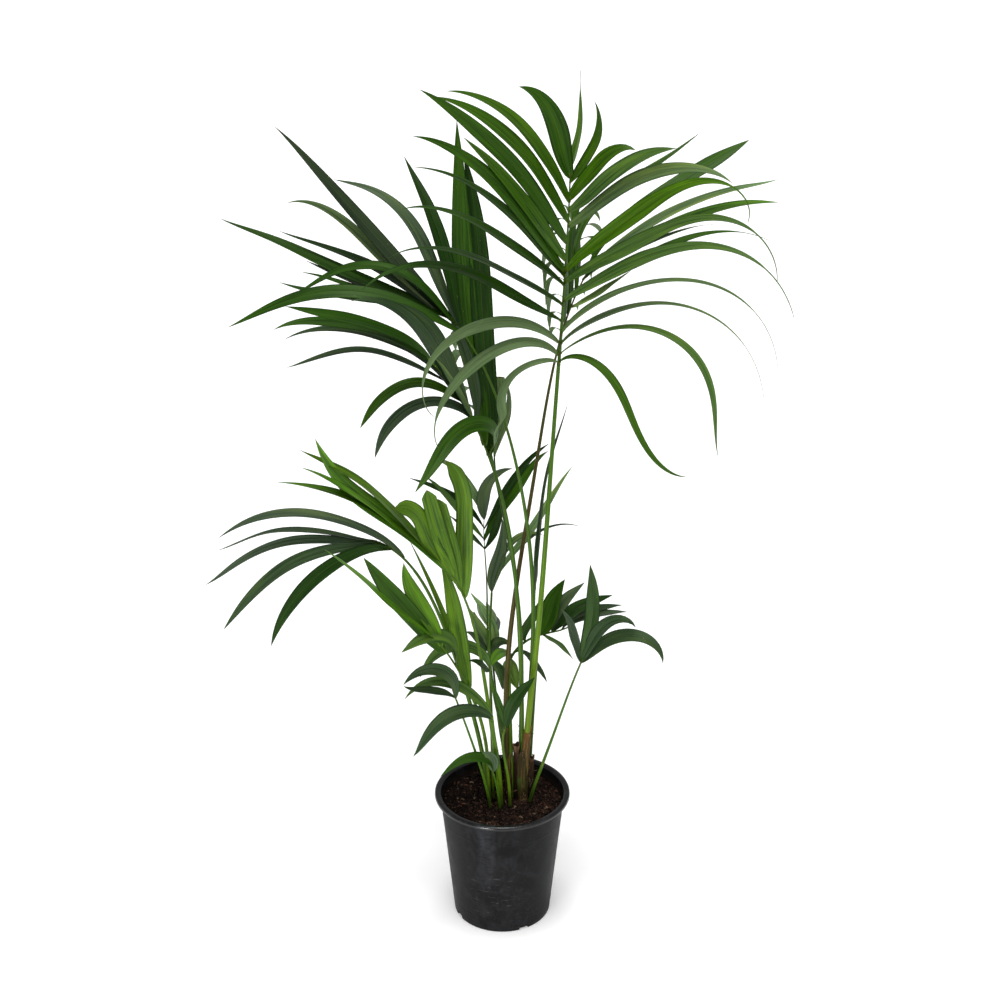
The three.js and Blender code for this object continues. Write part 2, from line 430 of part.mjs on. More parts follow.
    leaflets: [
      [0.677, 89.9, 18, 0.4, [-26.4, 262.9, -363.5, 138.9], [9.3, 1.5, -1.4], [-35, 0, 0]],
      [0.571, 106.4, 16.7, 0.4, [-30.1, -64.8, -16.3, 21.2], [-30.2, -83.8, 34], [-25, 0, 0]],
      [0.554, 74.3, 22.6, 0.4, [-164.6, -91.1, 77.7, -30.1], [29.4, -14.5, -77.7], [-150, 0, 0]],
      [0.59, 98.3, 13.5, 0.35, [57.1, 436.6, -785.9, 406.9], [12, -154.3, 69.4], [10, 0, 0]],
      [0.787, 76.2, 16.5, 0.3, [115.4, -110.9, 320.8, -203.6], [-28.3, -29.9, 20.9], [-11, -6, -4]],
      [0.954, 135.4, 16.5, 0.4, [67.5, 95.6, -91.7, 42.2], [37.7, -9.6, 2.3], [-4, 30, -8]],
      [0.912, 145.5, 18, 0.4, [47.8, 151.4, -146.9, 51.3], [47.6, -26.2, 7.2], [-15, 56, -27]],
      [0.846, 141.9, 20.7, 0.35, [42.6, 53.7, 56.4, -64.1], [35.8, -10.9, 4.6], [17, 21, -4]],
      [0.812, 115.6, 20.6, 0.35, [22.5, -6.2, 147.8, -111.5], [26.4, -13.8, 10.3], [12, -1, 2]],
      [0.773, 110.2, 28, 0.4, [45.3, -191.7, 360, -179.6], [18.5, -12, 9.8], [32, 14, -16]],
    ],
  },
  {
    name: 'low_right', foot: [48.1, -9.5, 225.1], length: 342.7,
    tilt: [12.1, 37.4, -119.5, 132.1, -45.6], nod: [-4.8, 5.5, -50.5, 34.8],
    radii: [2.6, 1.7, 1], bladeAt: 0.972,
    leaflets: [
      [0.992, 193.8, 26.5, 0.45, [13.4, -0.6, -52.9, 30.3], [-4.1, -0.2, 0], [76, 10, 6]],
      [0.985, 116.2, 22, 0.45, [-15, 1.7, 18.9, -41.2], [-6.8, 0, -0.5], [-59, -16, 27]],
      [0.994, 155.1, 24, 0.5, [17.3, 27.9, -110.6, 217.7], [-14, 1, -6.8], [79, 6, -55]],
      [0.985, 197.5, 24, 0.5, [36, -25.6, 156, 16], [-16.1, -12.2, 4.4], [67, -48, 7]],
    ],
  },
  {
    name: 'small_left_tall', foot: [-14.8, 0, 225.1], length: 282.9,
    tilt: [-3, 9.9, -8.1, -2.9], nod: [0.4, -5.5, 20.3, -33.9],
    radii: [2.2, 1.8, 1.2], bladeAt: 0.953,
    leaflets: [
      [0.992, 171.5, 25.3, 0.45, [-2.3, -269.9, 365, -477.8, 237.8], [8.8, -47.9, -10.9], [-11, 80, -39]],
      [0.969, 74.8, 18, 0.5, [-21.7, -57.2, 231, -263.5], [-42.2, -26.9, 70.2], [-59, -43, 56]],
    ],
  },
  {
    name: 'small_left', foot: [-20.7, -28.6, 225.1], length: 264.7,
    tilt: [-5.8, -39.8, 63, -33.6], nod: [-2.9, -14.2, -10.7, 14.5],
    radii: [1.9, 1.5, 1.1], bladeAt: 0.979,
    leaflets: [
      [1, 147.6, 23.1, 0.5, [4, -4.9, -366.3, 227.2], [-12.3, -6.5, 10.1], [-190, 154, -92]],
      [0.996, 101.8, 18, 0.5, [-34, -101.4, -6.9, 84.4], [-20.7, 1.6, 18], [-50, 68, -55]],
    ],
  },
  {
    name: 'small_middle', foot: [-4, -19.7, 225.1], length: 203.3,
    tilt: [2.2, -24.7, 10.7, 10.7], nod: [-2.3, -18.1, 19.9, -10.8],
    radii: [4.2, 4.2, 2.4], bladeAt: 0.947,
    leaflets: [
      [0.969, 200.8, 24, 0.5, [-14.1, -219, 691.3, -1132.8, 534.1], [-4, -12, -5.6], [-52, 55, -19]],
      [0.969, 192.7, 27, 0.5, [-30.6, -102.2, -112.2, -33.4, 140.2], [-26, -22, 39], [-82, 128, -89]],
    ],
  },
  {
    name: 'small_front', foot: [-3.7, -33.5, 225.1], length: 90.7,
    tilt: [-3.6, -10.3, 1.9, -4.3], nod: [-0.7, -20, 55.8, -53.2],
    radii: [2, 1.7, 1.4], bladeAt: 0.909,
    leaflets: [
      [0.958, 131, 18.4, 0.4, [6, -186.4, -51.7, 106.1], [-12.9, -23.9, 14.1], [-120, 0, 0]],
      [0.958, 54.1, 24, 0.5, [3.9, 17, -110.6, 4.2], [-10.2, 2.9, -5.6], [133, 13, 50]],
    ],
  },
  {
    name: 'small_bright', foot: [13.9, -23.6, 225.1], length: 173.7,
    tilt: [-2.2, 17.2, -128.1, 133.6], nod: [-2.5, -11.3, 5.3, 6.7],
    radii: [2.4, 2.2, 1.6], bladeAt: 0.957,
    leaflets: [
      [0.99, 131.3, 25.4, 0.5, [10.4, -18.7, 146.6, -105.8], [-12.4, 3.5, 1.7], [117, -33, 8]],
      [0.983, 78, 16.5, 0.5, [6.1, -108.8, 131.5, -34.4], [14.9, 0, -0.2], [-18, 25, -23]],
    ],
  },
  {
    name: 'small_back', foot: [9.4, 14, 261.3], length: 235.1,
    tilt: [-2.9, -72.9, 196.7, -136.5], nod: [8, 126.6, -323.8, 204.2],
    radii: [2.2, 1.8, 1.3], bladeAt: 0.929,
    leaflets: [
      [0.992, 94.9, 22.3, 0.5, [-11.6, -52, 40.9, 8.7], [-0, 0, -0], [-64, 29, -27]],
      [0.992, 73.1, 16.5, 0.5, [-28.3, -64.4, 205.3, -190.1], [-15.9, 4.6, -6.7], [-61, -21, 38]],
      [0.975, 130.3, 18.6, 0.35, [25.1, -95.2, -36.4, 69.4], [8.5, 0.9, -0.3], [38, 50, -27]],
      [0.983, 65.7, 20.4, 0.5, [12.6, 2.5, 52.3, 75.3], [-22.2, 2, -18.4], [123, -25, -64]],
      [0.948, 68.6, 18.6, 0.45, [104.9, 70.9, 128.7, -128.2], [-63.7, 53.2, 31.4], [16, -24, 23]],
    ],
  },
  {
    name: 'rear_right', foot: [45.3, 30.2, 225.1], length: 1083.8,
    tilt: [2.5, -2, 59.5, -163.1, 142.3, -24.2], nod: [-8.9, 149.6, -398.2, 341.5],
    radii: [4.6, 3.4, 1.2], bladeAt: 0.75,
    leaflets: [
      [0.777, 120.9, 36, 0.45, [-62.4, -171.3, -110.8, 176], [81.4, -60.4, 23.6], [18, 14, 0]],
      [0.802, 140.6, 36, 0.45, [113, -133.4, 357.1, -145.5], [74.7, 25.1, -59.3], [-18, -14, 0]],
      [0.829, 191.7, 36, 0.45, [-33.2, -525.9, 600.9, -217], [71.9, -79.8, 53.2], [18, 14, 0]],
      [0.856, 194.3, 36, 0.45, [104.9, -217.1, 668.6, -377.8], [77.3, -15.9, -19.7], [-18, -14, 0]],
      [0.881, 217.8, 39, 0.45, [-30.7, -444.7, 399.2, -95.7], [68.3, -64.3, 37.2], [18, 14, 0]],
      [0.906, 200.4, 39, 0.45, [50, 80.1, 169.4, -122.8], [75.7, -27.6, -7.4], [-18, -14, 0]],
      [0.933, 210, 39, 0.45, [-26.6, -389.5, 275.3, -30.9], [70.6, -58.9, 30], [18, 14, 0]],
      [0.967, 170.1, 39, 0.45, [21.4, 222.2, -90.7, 17.7], [74.5, -21.6, -12.6], [-18, -14, 0]],
      [0.988, 131.6, 39, 0.45, [-24.8, 65, -362.3, 128], [71.3, 52.2, -88.7], [18, 14, 0]],
    ],
  },
  {
    name: 'rear_left', foot: [33.9, 32.5, 225.1], length: 903.1,
    tilt: [-1.8, 30, -35.8, -436.9, 862.4, -422.8], nod: [5.1, 30.1, -128.4, 166.9],
    radii: [4.2, 3, 1.1], bladeAt: 0.729,
    leaflets: [
      [0.738, 106.2, 33, 0.45, [-82.8, 156.9, -629.2, 371.9], [66.8, 4.2, -42.7], [18, 14, 0]],
      [0.765, 135.1, 33, 0.45, [74.1, -843.4, 1736.4, -983.2], [59.7, 157.6, -71.4], [-18, -14, 0]],
      [0.794, 152.8, 33, 0.45, [-66.3, 68.7, -545.1, 367.3], [79.1, -30.2, -15.3], [18, 14, 0]],
      [0.825, 170, 36, 0.45, [66.7, -693.2, 1442.7, -835.3], [49.2, 230.7, -146.5], [-18, -14, 0]],
      [0.856, 186.1, 33, 0.45, [-19.1, -192, -133.2, 168.1], [77.4, -25.6, -20.8], [18, 14, 0]],
      [0.89, 179.5, 36, 0.45, [73.2, -801.4, 1654.9, -944.6], [46.8, 218.8, -127.7], [-18, -14, 0]],
      [0.923, 169.8, 36, 0.45, [-97.7, 1483.7, -2984.3, 1599.6], [49.1, 204.7, -113.1], [18, 14, 0]],
      [0.96, 149.1, 36, 0.45, [8.8, 323.3, -1010.7, 703.3], [59.8, 24.1, 98.7], [-18, -14, 0]],
    ],
  },
  {
    name: 'rear_low', foot: [-16.8, 36.6, 225.1], length: 337.1,
    tilt: [-1.1, 1.1, -5.5, 3.8], nod: [1.3, 43.8, -182.3, 252.7],
    radii: [2.8, 2.2, 1], bladeAt: 0.75,
    leaflets: [
      [0.787, 104.8, 26.4, 0.45, [-120.8, 37.6, 24.2, -17.5], [57.2, 51.1, -25.3], [18, 14, 0]],
      [0.844, 124.2, 26.4, 0.45, [-114.3, 26.9, -6.7, 19.6], [64.9, 27.6, -7.6], [18, 14, 0]],
      [0.844, 122, 28.8, 0.45, [134.8, -27.5, -22, 174.4], [71.7, 28.1, -16.2], [-18, -14, 0]],
      [0.935, 132, 28.8, 0.45, [128.9, 148.9, 50.7, -99.1], [78.8, 20.1, -25.3], [18, 14, 0]],
    ],
  },
];
const byName = Object.fromEntries(FRONDS.map((f) => [f.name, f]));

const taper = (r, u) => (u < 0.5 ? r[0] + (r[1] - r[0]) * u * 2 : r[1] + (r[2] - r[1]) * (u - 0.5) * 2);
// Rings that a limb needs so that its straight runs stay within `sag` of its curve.
function ringsFor(line, u0, u1, length, sag) {
  let turn = 0;
  for (let u = u0; u < u1 - 0.02; u += 0.02) turn += tangentOn(line, u).angleTo(tangentOn(line, u + 0.02));
  return Math.ceil(Math.sqrt((u1 - u0) * length * turn / 8 / sag));
}
function stalk(f, fromHeight = 0) {
  const line = growthLine(f.foot, f.length, f.tilt, f.nod);
  const first = Math.max(0, line.findIndex((p) => p.z > fromHeight)) / (line.length - 1);
  const rings = Math.max(3, ringsFor(line, first, f.bladeAt, f.length, STALK_SAG));
  return limb(line, first, f.bladeAt, (u) => taper(f.radii, u), STALK_SIDES, rings, first === 0 && f.foot[2] < SOIL_TOP + 2 * GAP);
}
// The blade between two places on the midrib: the rib itself and the leaflets that start on it.
function blade(f, from = f.bladeAt, to = 1) {
  const line = growthLine(f.foot, f.length, f.tilt, f.nod), step = GAP / 2 / f.length;
  const rows = f.leaflets.filter(([s]) => (s >= from || from === f.bladeAt) && (s < to || to === 1));
  const rings = Math.max(2, ringsFor(line, from, to, f.length, RIB_SAG));
  const shapes = [limb(line, from + (from === f.bladeAt ? 2 : 1) * step, to - (to < 1 ? step : 0), (u) => taper(f.radii, u), RIB_SIDES, rings)];
  for (const [s, length, width, widest, tilt, nod, roll] of rows) {
    shapes.push(leaflet(pointOn(line, s).toArray(), length, width, widest, tilt, nod, roll));
  }
  return filled(toGeometry(join(shapes)));
}

// The main stem: the sheathed foot and the stalks, which leave it a little below its top.
function mainStem() {
  const sheathLine = [0, 1, 2, 3, 4].map((i) => new THREE.Vector3(
    SHEATH_FOOT[0] + (SHEATH_HEAD[0] - SHEATH_FOOT[0]) * i / 4,
    SHEATH_FOOT[1] + (SHEATH_HEAD[1] - SHEATH_FOOT[1]) * i / 4,
    SOIL_TOP + GAP + (SHEATH_TOP - SOIL_TOP - GAP) * i / 4));
  const sheath = limb(sheathLine, 0, 1, (u) => taper(SHEATH_RADII, u), 8, 4, true);
  return toGeometry(join([sheath, ...['tall_right', 'upper_middle', 'upper_left', 'strap_middle', 'spear_slim'].map((n) => stalk(byName[n], SHEATH_TOP - 45))]));
}
const joined = (...names) => toGeometry(join(names.map((n) => stalk(byName[n]))));

piece('stem_main', mainStem(), 0x6a7a2c, 0.5);
piece('stem_second', joined('upper_back', 'middle_back', 'middle_dark', 'low_middle', 'small_back'), 0x5f6a2e, 0.5);
piece('stem_low', joined('small_middle', 'middle_left'), 0x83b53a, 0.45);
for (const n of ['low_left', 'low_front', 'low_right', 'small_left_tall', 'small_left', 'small_front', 'small_bright', 'rear_right', 'rear_left', 'rear_low']) {
  piece(`stalk_${n}`, toGeometry(toSolid(stalk(byName[n]))), 0x6f9a38, 0.48);
}

// The blades. The tall right one is made in three lengths, and three more in two, each with its own leaflets.
const SPLITS = {
  tall_right: [['low', 0.777], ['middle', 0.909], ['top', 1]],
  upper_left: [['low', 0.778], ['top', 1]],
};
const COLOURS = {
  tall_right: 0x5f9438, upper_back: 0x41693a, upper_middle: 0x3f6b35, upper_left: 0x356036, strap_middle: 0x63973c,
  spear_slim: 0x86a845, middle_back: 0x50803a, middle_dark: 0x35583c, middle_left: 0x5c8f3a, low_left: 0x447838,
  low_front: 0x4c8038, low_middle: 0x567f48, low_right: 0x4b7d3c, small_left_tall: 0x5a8f3c, small_left: 0x55763f,
  small_middle: 0x69993e, small_front: 0x6e8f76, small_bright: 0x7fae3c, small_back: 0x4f7d3c, rear_right: 0x4f8238,
  rear_left: 0x44723a, rear_low: 0x47783a,
};
for (const f of FRONDS) {
  let from = f.bladeAt;
  for (const [part, to] of SPLITS[f.name] ?? [['', 1]]) {
    piece(part ? `frond_${f.name}_${part}` : `frond_${f.name}`, blade(f, from, to), COLOURS[f.name], 0.45);
    from = to;
  }
}

export default object;
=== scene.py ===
import math
import bpy
import numpy as np
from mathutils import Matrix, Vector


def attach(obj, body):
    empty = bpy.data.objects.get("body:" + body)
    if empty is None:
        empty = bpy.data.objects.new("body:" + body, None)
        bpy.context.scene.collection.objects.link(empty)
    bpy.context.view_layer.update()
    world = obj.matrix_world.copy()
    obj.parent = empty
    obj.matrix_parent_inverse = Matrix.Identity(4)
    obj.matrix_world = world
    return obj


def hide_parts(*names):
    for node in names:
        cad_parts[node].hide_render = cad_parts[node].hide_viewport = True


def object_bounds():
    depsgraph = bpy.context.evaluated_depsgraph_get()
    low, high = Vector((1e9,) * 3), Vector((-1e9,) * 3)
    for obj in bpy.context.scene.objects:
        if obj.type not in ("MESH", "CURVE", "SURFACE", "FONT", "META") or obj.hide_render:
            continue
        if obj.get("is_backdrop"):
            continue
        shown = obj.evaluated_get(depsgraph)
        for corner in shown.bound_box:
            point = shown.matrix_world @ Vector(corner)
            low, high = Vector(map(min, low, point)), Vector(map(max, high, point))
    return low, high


# Looks of a kentia palm in its black nursery pot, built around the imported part.
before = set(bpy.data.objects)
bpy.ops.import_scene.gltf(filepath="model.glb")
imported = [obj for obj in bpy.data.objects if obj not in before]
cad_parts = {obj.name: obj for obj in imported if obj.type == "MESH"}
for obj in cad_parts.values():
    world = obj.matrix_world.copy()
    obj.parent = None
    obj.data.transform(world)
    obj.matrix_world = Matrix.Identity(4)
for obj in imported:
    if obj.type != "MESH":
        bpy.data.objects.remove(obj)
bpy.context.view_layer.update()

# ------------------------------------------------------------------ sizes, in metres
POT_HEIGHT, POT_RIM_RADIUS, POT_TOP_RADIUS, POT_FOOT_RADIUS = 0.2453, 0.120, 0.110, 0.086
POT_WALL, POT_FLOOR, LIP_HEIGHT, LIP_THICK = 0.0022, 0.003, 0.007, 0.0024
NOTCH_WIDTH, NOTCH_HEIGHT, NOTCH_TURNS = 0.018, 0.008, (-63, 27, 117, 207)
SOIL_TOP = 0.2248
LEAF_THICK = 0.00045
CAMERA_AT, CAMERA_DOWN, CAMERA_LENS = (-0.004, -3.205, 2.337), 25.39, 76.8

# Growth tables of the fronds, in millimetres and degrees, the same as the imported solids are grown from.
# frond: name, shoot, foot, length, tilt, nod, radii, where the blade starts, bark, leaflets
# leaflet: name, place on the rib, length, width, widest place, tilt, nod, roll, tone, hair tip, seen from below, form
FRONDS = [
    ('F1', 'main', (39.1, 0.0, 225.1), 1146.3, (1.0, 41.6, -167.2, 254.1, -142.8, 14.1), (0.5, -6.9, 16.0, 1.0), (6.02, 3.96, 1.38), 0.721, 'green', [
        ('L1', 0.99, 185.4, 34.6, 0.42, (-19.9, 47.1, -70.3, -35.1), (-9.3, -1.4, 0.3), (-91.0, -26.0, 49.0), 'c', 0, 0, 'full'),
        ('L2', 0.954, 304.5, 27.3, 0.35, (-21.2, -26.0, 6.3, -55.7, 9.1), (-13.8, -2.9, 0.1), (-67.0, 9.0, 19.0), 'd', 0, 0, 'full'),
        ('L3', 0.927, 338.7, 27.3, 0.45, (-26.8, 22.5, -160.7, 176.3, -87.1), (-16.3, -2.8, -0.6), (-71.0, 8.0, 18.0), 'd', 0, 0, 'full'),
        ('L4', 0.898, 387.8, 27.3, 0.5, (-30.2, 45.2, -254.9, 337.2, -152.9), (-17.3, -4.4, 0.8), (-87.0, 13.0, 4.0), 'c', 0, 0, 'full'),
        ('L5', 0.873, 316.0, 27.3, 0.4, (-30.3, 5.4, -5.6, -47.5, 37.5), (-22.0, -4.2, 0.7), (-74.0, -0.0, 10.0), 'd', 0, 0, 'full'),
        ('L6', 0.858, 406.5, 27.3, 0.45, (-35.9, 82.6, -317.3, 405.7, -210.2), (-22.5, -5.8, -0.8), (-74.0, -16.0, 42.0), 'c', 0, 0, 'full'),
        ('L7', 0.85, 393.4, 27.3, 0.3, (-34.1, 18.2, -73.1, 41.2, -28.6), (-26.0, -4.5, -3.1), (-47.0, -9.0, 39.0), 'b', 0, 0, 'full'),
        ('L8', 0.838, 385.9, 25.2, 0.3, (-38.1, -26.4, 10.0, 62.4, -102.9), (-28.9, -4.4, -4.7), (-45.0, -7.0, 37.0), 'c', 0, 0, 'full'),
        ('L9', 0.81, 392.4, 25.2, 0.3, (-45.0, -23.2, 39.1, -19.4, -60.8), (-29.8, -7.0, -4.8), (-28.0, -14.0, 49.0), 'b', 0, 0, 'full'),
        ('L10', 0.787, 441.4, 25.2, 0.4, (-49.3, -21.3, 180.1, -411.1, 174.6), (-28.9, -4.6, -9.2), (-41.0, -28.0, 72.0), 'b', 0, 0, ''),
        ('L11', 0.756, 392.8, 23.1, 0.5, (-37.4, -90.4, -156.6, 358.0, -321.9), (-26.4, -33.2, 15.3), (109.0, 85.0, -6.0), 'j', 1, 1, ''),
        ('L12', 0.738, 364.4, 23.1, 0.55, (-32.0, -188.3, -145.1, 653.2, -508.7), (-28.0, -42.3, 23.2), (102.0, 136.0, -66.0), 'j', 1, 1, ''),
        ('L13', 0.727, 287.4, 23.1, 0.45, (-16.6, -564.2, 1606.9, -2555.9, 1149.9), (-56.4, 125.4, -228.5), (117.0, 224.0, -169.0), 'j', 0, 1, 'thin'),
        ('T1', 1.0, 165.8, 25.2, 0.2, (14.3, 21.4, -107.5, -9.2, 98.4), (16.6, 0.8, -0.5), (-22.0, -2.0, 1.0), 'f', 1, 0, ''),
        ('T2', 0.981, 144.5, 25.2, 0.3, (30.6, 53.9, -161.4, 46.2), (6.1, 1.2, -0.9), (21.0, -6.0, 15.0), 'd', 0, 0, ''),
        ('R1', 0.958, 150.1, 27.3, 0.5, (21.5, 130.1, -362.0, 333.5), (-11.6, -1.1, -0.5), (66.0, 5.0, -25.0), 'd', 0, 0, 'full'),
        ('R2', 0.942, 227.5, 27.3, 0.45, (47.0, -58.7, 128.4, -36.2), (-21.8, 0.6, -3.8), (61.0, 18.0, -37.0), 'h', 0, 0, 'full'),
        ('R3', 0.921, 318.3, 27.3, 0.4, (49.8, -93.2, 377.2, -418.1, 210.8), (-21.9, -0.8, -4.5), (60.0, 3.0, -34.0), 'j', 0, 0, 'full'),
        ('R4', 0.858, 412.8, 27.5, 0.45, (30.0, 139.1, -405.0, 353.9, 88.2), (-20.2, -2.9, -3.4), (80.0, 13.0, -50.0), 'f', 1, 0, ''),
        ('R8', 0.842, 452.1, 25.2, 0.35, (40.6, 186.0, -879.2, 1499.0, -663.9), (-21.9, -4.9, -2.4), (65.0, 10.0, -47.0), 'h', 1, 0, ''),
        ('R11', 0.815, 481.1, 25.2, 0.35, (42.9, 100.9, -444.2, 918.8, -452.7), (-23.3, -8.6, -0.7), (57.0, -12.0, -30.0), 'h', 1, 0, ''),
        ('R12', 0.767, 511.8, 18.9, 0.25, (22.8, 217.2, -611.1, 1033.1, -477.3), (-23.2, -16.9, 4.7), (55.0, -67.0, 10.0), 'j', 1, 0, ''),
        ('R13', 0.752, 497.3, 18.9, 0.25, (31.1, 155.4, -399.8, 829.0, -435.5), (-25.3, -19.7, 5.8), (42.0, -70.0, 10.0), 'j', 1, 0, ''),
        ('R14', 0.738, 462.0, 17.2, 0.6, (35.8, 139.6, -397.9, 1189.4, -804.2), (-27.1, -25.2, 10.5), (54.0, -100.0, 33.0), 'h', 0, 0, 'thin'),
        ('R15', 0.725, 353.2, 19.2, 0.45, (22.0, 498.1, -602.3, 321.6, -177.3), (-32.2, -48.0, 39.9), (61.0, -223.0, 200.0), 'd', 0, 0, ''),
    ]),
    ('F5', 'second', (10.4, 10.3, 225.1), 974.7, (-0.1, -51.9, 436.5, -880.5, 609.3, -78.1), (-2.7, 79.3, -198.9, 149.2), (5.5, 3.6, 1.4), 0.833, 'brown', [
        ('S', 0.998, 365.9, 26.0, 0.75, (18.1, 183.8, -239.0, 111.6, -10.1), (24.5, -3.7, 2.0), (6.0, 28.0, -20.0), 'c', 0, 0, ''),
        ('R2b', 0.96, 360.1, 22.0, 0.5, (-9.7, -28.1, 862.4, -1426.9, 659.4), (13.7, 1.5, -1.5), (18.0, -9.0, 9.0), 'd', 0, 0, ''),
        ('R6', 0.998, 394.1, 24.0, 0.45, (47.6, 136.5, -437.1, 715.7, -383.5), (27.8, -2.7, -0.8), (-2.0, 15.0, 0.0), 'l', 0, 0, ''),
        ('R7', 0.992, 398.7, 26.0, 0.6, (53.0, 165.6, -518.8, 724.8, -324.2), (30.3, -2.7, -2.2), (1.0, 7.0, 12.0), 'i', 0, 0, ''),
        ('R9', 0.979, 304.5, 22.0, 0.3, (51.5, 170.1, -445.9, 480.0, -138.4), (29.9, 0.3, -4.9), (-12.0, 0.0, 20.0), 'c', 1, 0, ''),
        ('R10', 0.965, 366.8, 24.0, 0.4, (79.0, -79.6, 119.2, 70.8, -66.6), (18.9, 2.6, -5.3), (10.0, -26.0, 45.0), 'c', 1, 0, ''),
        ('v1', 0.915, 215.9, 22.0, 0.4, (9.2, -51.7, 78.4, 0.9), (19.9, -1.3, 1.1), (-28.0, -2.0, 3.0), 'c', 0, 0, ''),
        ('v2', 0.95, 157.2, 22.0, 0.4, (14.6, -69.9, 68.7, 27.9), (33.6, 2.0, -3.0), (-41.0, -20.0, 26.0), 'c', 0, 0, ''),
        ('v3', 0.898, 157.1, 22.0, 0.3, (6.1, -15.2, -1.2, 9.4), (10.6, -0.2, 0.3), (-43.0, 3.0, -2.0), 'c', 0, 0, ''),
        ('v4', 0.929, 132.5, 22.0, 0.3, (74.4, -29.8, 43.1, -19.3), (31.5, 7.4, -6.3), (176.0, -9.0, 7.0), 'k', 0, 1, ''),
    ]),
    ('F3', 'main', (40.2, 12.4, 225.1), 927.7, (0.1, 27.4, -4.9, -397.7, 723.4, -393.5), (-1.4, 32.9, -115.1, 104.0), (5.0, 3.4, 1.3), 0.896, 'green', [
        ('b', 0.963, 307.8, 23.6, 0.5, (-17.8, 51.7, -140.6, 54.7, 21.6), (14.3, 22.0, -3.3), (-25.0, 1.0, -4.0), 'a', 0, 0, ''),
        ('c', 0.969, 349.7, 23.3, 0.4, (-27.2, -38.8, 418.5, -1017.2, 582.3), (21.8, 3.5, -5.3), (-18.0, 15.0, -30.0), 'g', 0, 0, ''),
        ('e', 0.977, 455.6, 25.7, 0.4, (-53.0, 59.2, -184.5, 256.1, -131.6), (23.9, -0.5, -0.2), (-36.0, 5.0, -5.0), 'n', 0, 0, ''),
        ('f', 0.988, 375.2, 23.3, 0.5, (-59.4, -13.3, 164.9, -190.4, -24.0), (26.9, 6.1, -9.6), (-12.0, 40.0, -55.0), 'j', 0, 0, ''),
        ('g1', 0.994, 362.5, 23.3, 0.4, (-74.7, 138.7, -472.1, 468.1, -136.9), (32.0, -3.4, -0.3), (-2.0, -3.0, -8.0), 'a', 0, 0, ''),
        ('g2', 0.992, 470.7, 25.4, 0.5, (-59.1, -228.9, 835.7, -1131.4, 510.0), (29.5, -3.7, 1.1), (-13.0, -6.0, 5.0), 'b', 0, 0, ''),
        ('h', 0.998, 292.6, 23.3, 0.4, (-63.8, -135.6, 264.7, -142.2), (30.7, -5.9, 4.5), (1.0, -25.0, 26.0), 'b', 0, 0, ''),
        ('i', 1.0, 281.7, 23.3, 0.4, (-85.8, 1.3, 55.4, -61.8), (25.0, -0.2, -1.1), (-8.0, 13.0, -13.0), 'b', 0, 0, ''),
        ('k', 0.985, 314.7, 25.4, 0.5, (-60.0, -133.7, 179.1, -61.9), (17.4, -2.6, 2.0), (-5.0, -24.0, 23.0), 'b', 0, 0, ''),
        ('l', 0.975, 338.8, 23.3, 0.45, (-48.8, 142.8, -745.7, 703.8, -173.4), (14.3, -0.7, -1.9), (-12.0, -0.0, -27.0), 'b', 0, 0, ''),
        ('m', 0.958, 420.6, 25.4, 0.5, (-59.9, 19.7, -240.3, 154.6, 9.5), (3.6, 0.1, -0.4), (-41.0, 7.0, -16.0), 'b', 0, 0, ''),
    ]),
    ('F2', 'main', (34.3, 4.0, 225.1), 906.2, (-0.1, 10.2, -120.6, 390.1, -652.0, 345.7), (2.7, -35.7, 171.3, -180.1), (4.6, 3.4, 1.2), 0.726, 'green', [
        ('a1', 0.754, 540.0, 37.4, 0.45, (-0.7, -101.6, 374.6, -464.0, 190.0), (12.6, -8.6, -0.5), (-12.0, 0.0, -2.0), 'c', 0, 0, 'full'),
        ('a2', 0.731, 507.9, 36.0, 0.5, (10.8, -161.9, 537.4, -675.7, 276.6), (9.1, 1.2, -0.4), (39.0, 5.0, -4.0), 'a', 0, 0, 'full'),
        ('a3', 0.802, 213.0, 23.8, 0.45, (16.3, -124.2, 127.3, -37.9), (12.9, 3.5, -2.3), (10.0, 17.0, -12.0), 'e', 0, 0, ''),
        ('a4', 0.829, 273.3, 25.9, 0.5, (-11.4, -96.4, 434.6, -736.4, 324.2), (-10.0, -0.4, -1.8), (-81.0, -14.0, 42.0), 'e', 0, 0, ''),
        ('a5', 0.869, 300.5, 23.8, 0.5, (-20.1, -26.3, 123.4, -256.4, 81.1), (-18.3, 1.0, -6.3), (-87.0, -18.0, 56.0), 'e', 0, 0, ''),
        ('n', 0.979, 300.1, 23.8, 0.6, (-24.6, -124.9, 121.1, -41.0, 3.4), (-23.4, -10.1, 4.6), (-68.0, 72.0, -49.0), 'b', 0, 0, ''),
        ('o', 0.958, 310.3, 25.9, 0.6, (-37.9, 11.0, -392.7, 713.2, -406.9), (-19.6, -6.6, 1.1), (-48.0, 42.0, -14.0), 'c', 0, 0, ''),
        ('p', 0.935, 299.5, 23.8, 0.5, (-36.1, -72.2, 56.6, -48.9, -14.3), (-17.5, -5.4, 0.8), (-39.0, 31.0, -5.0), 'e', 0, 0, ''),
        ('q', 0.908, 297.3, 23.8, 0.6, (-54.3, 14.6, -2.1, -340.2, 286.8), (-17.5, -6.4, 1.9), (-19.0, 18.0, 5.0), 'e', 0, 0, ''),
        ('r', 0.858, 218.1, 25.9, 0.65, (-45.2, 30.6, -391.3, 262.5, 0.7), (-18.8, -12.6, 6.5), (-46.0, 70.0, -33.0), 'd', 0, 0, 'full'),
        ('s', 0.815, 232.1, 25.9, 0.6, (-25.4, -179.6, 168.3, -322.3, 198.0), (-21.1, -14.9, 7.3), (-67.0, 111.0, -66.0), 'g', 0, 0, 'full'),
        ('u', 0.733, 282.7, 27.8, 0.5, (22.4, 78.8, -1656.6, 2483.0, -1062.5), (-20.2, -55.4, 32.1), (205.0, 50.0, 0.0), 'c', 0, 0, 'full'),
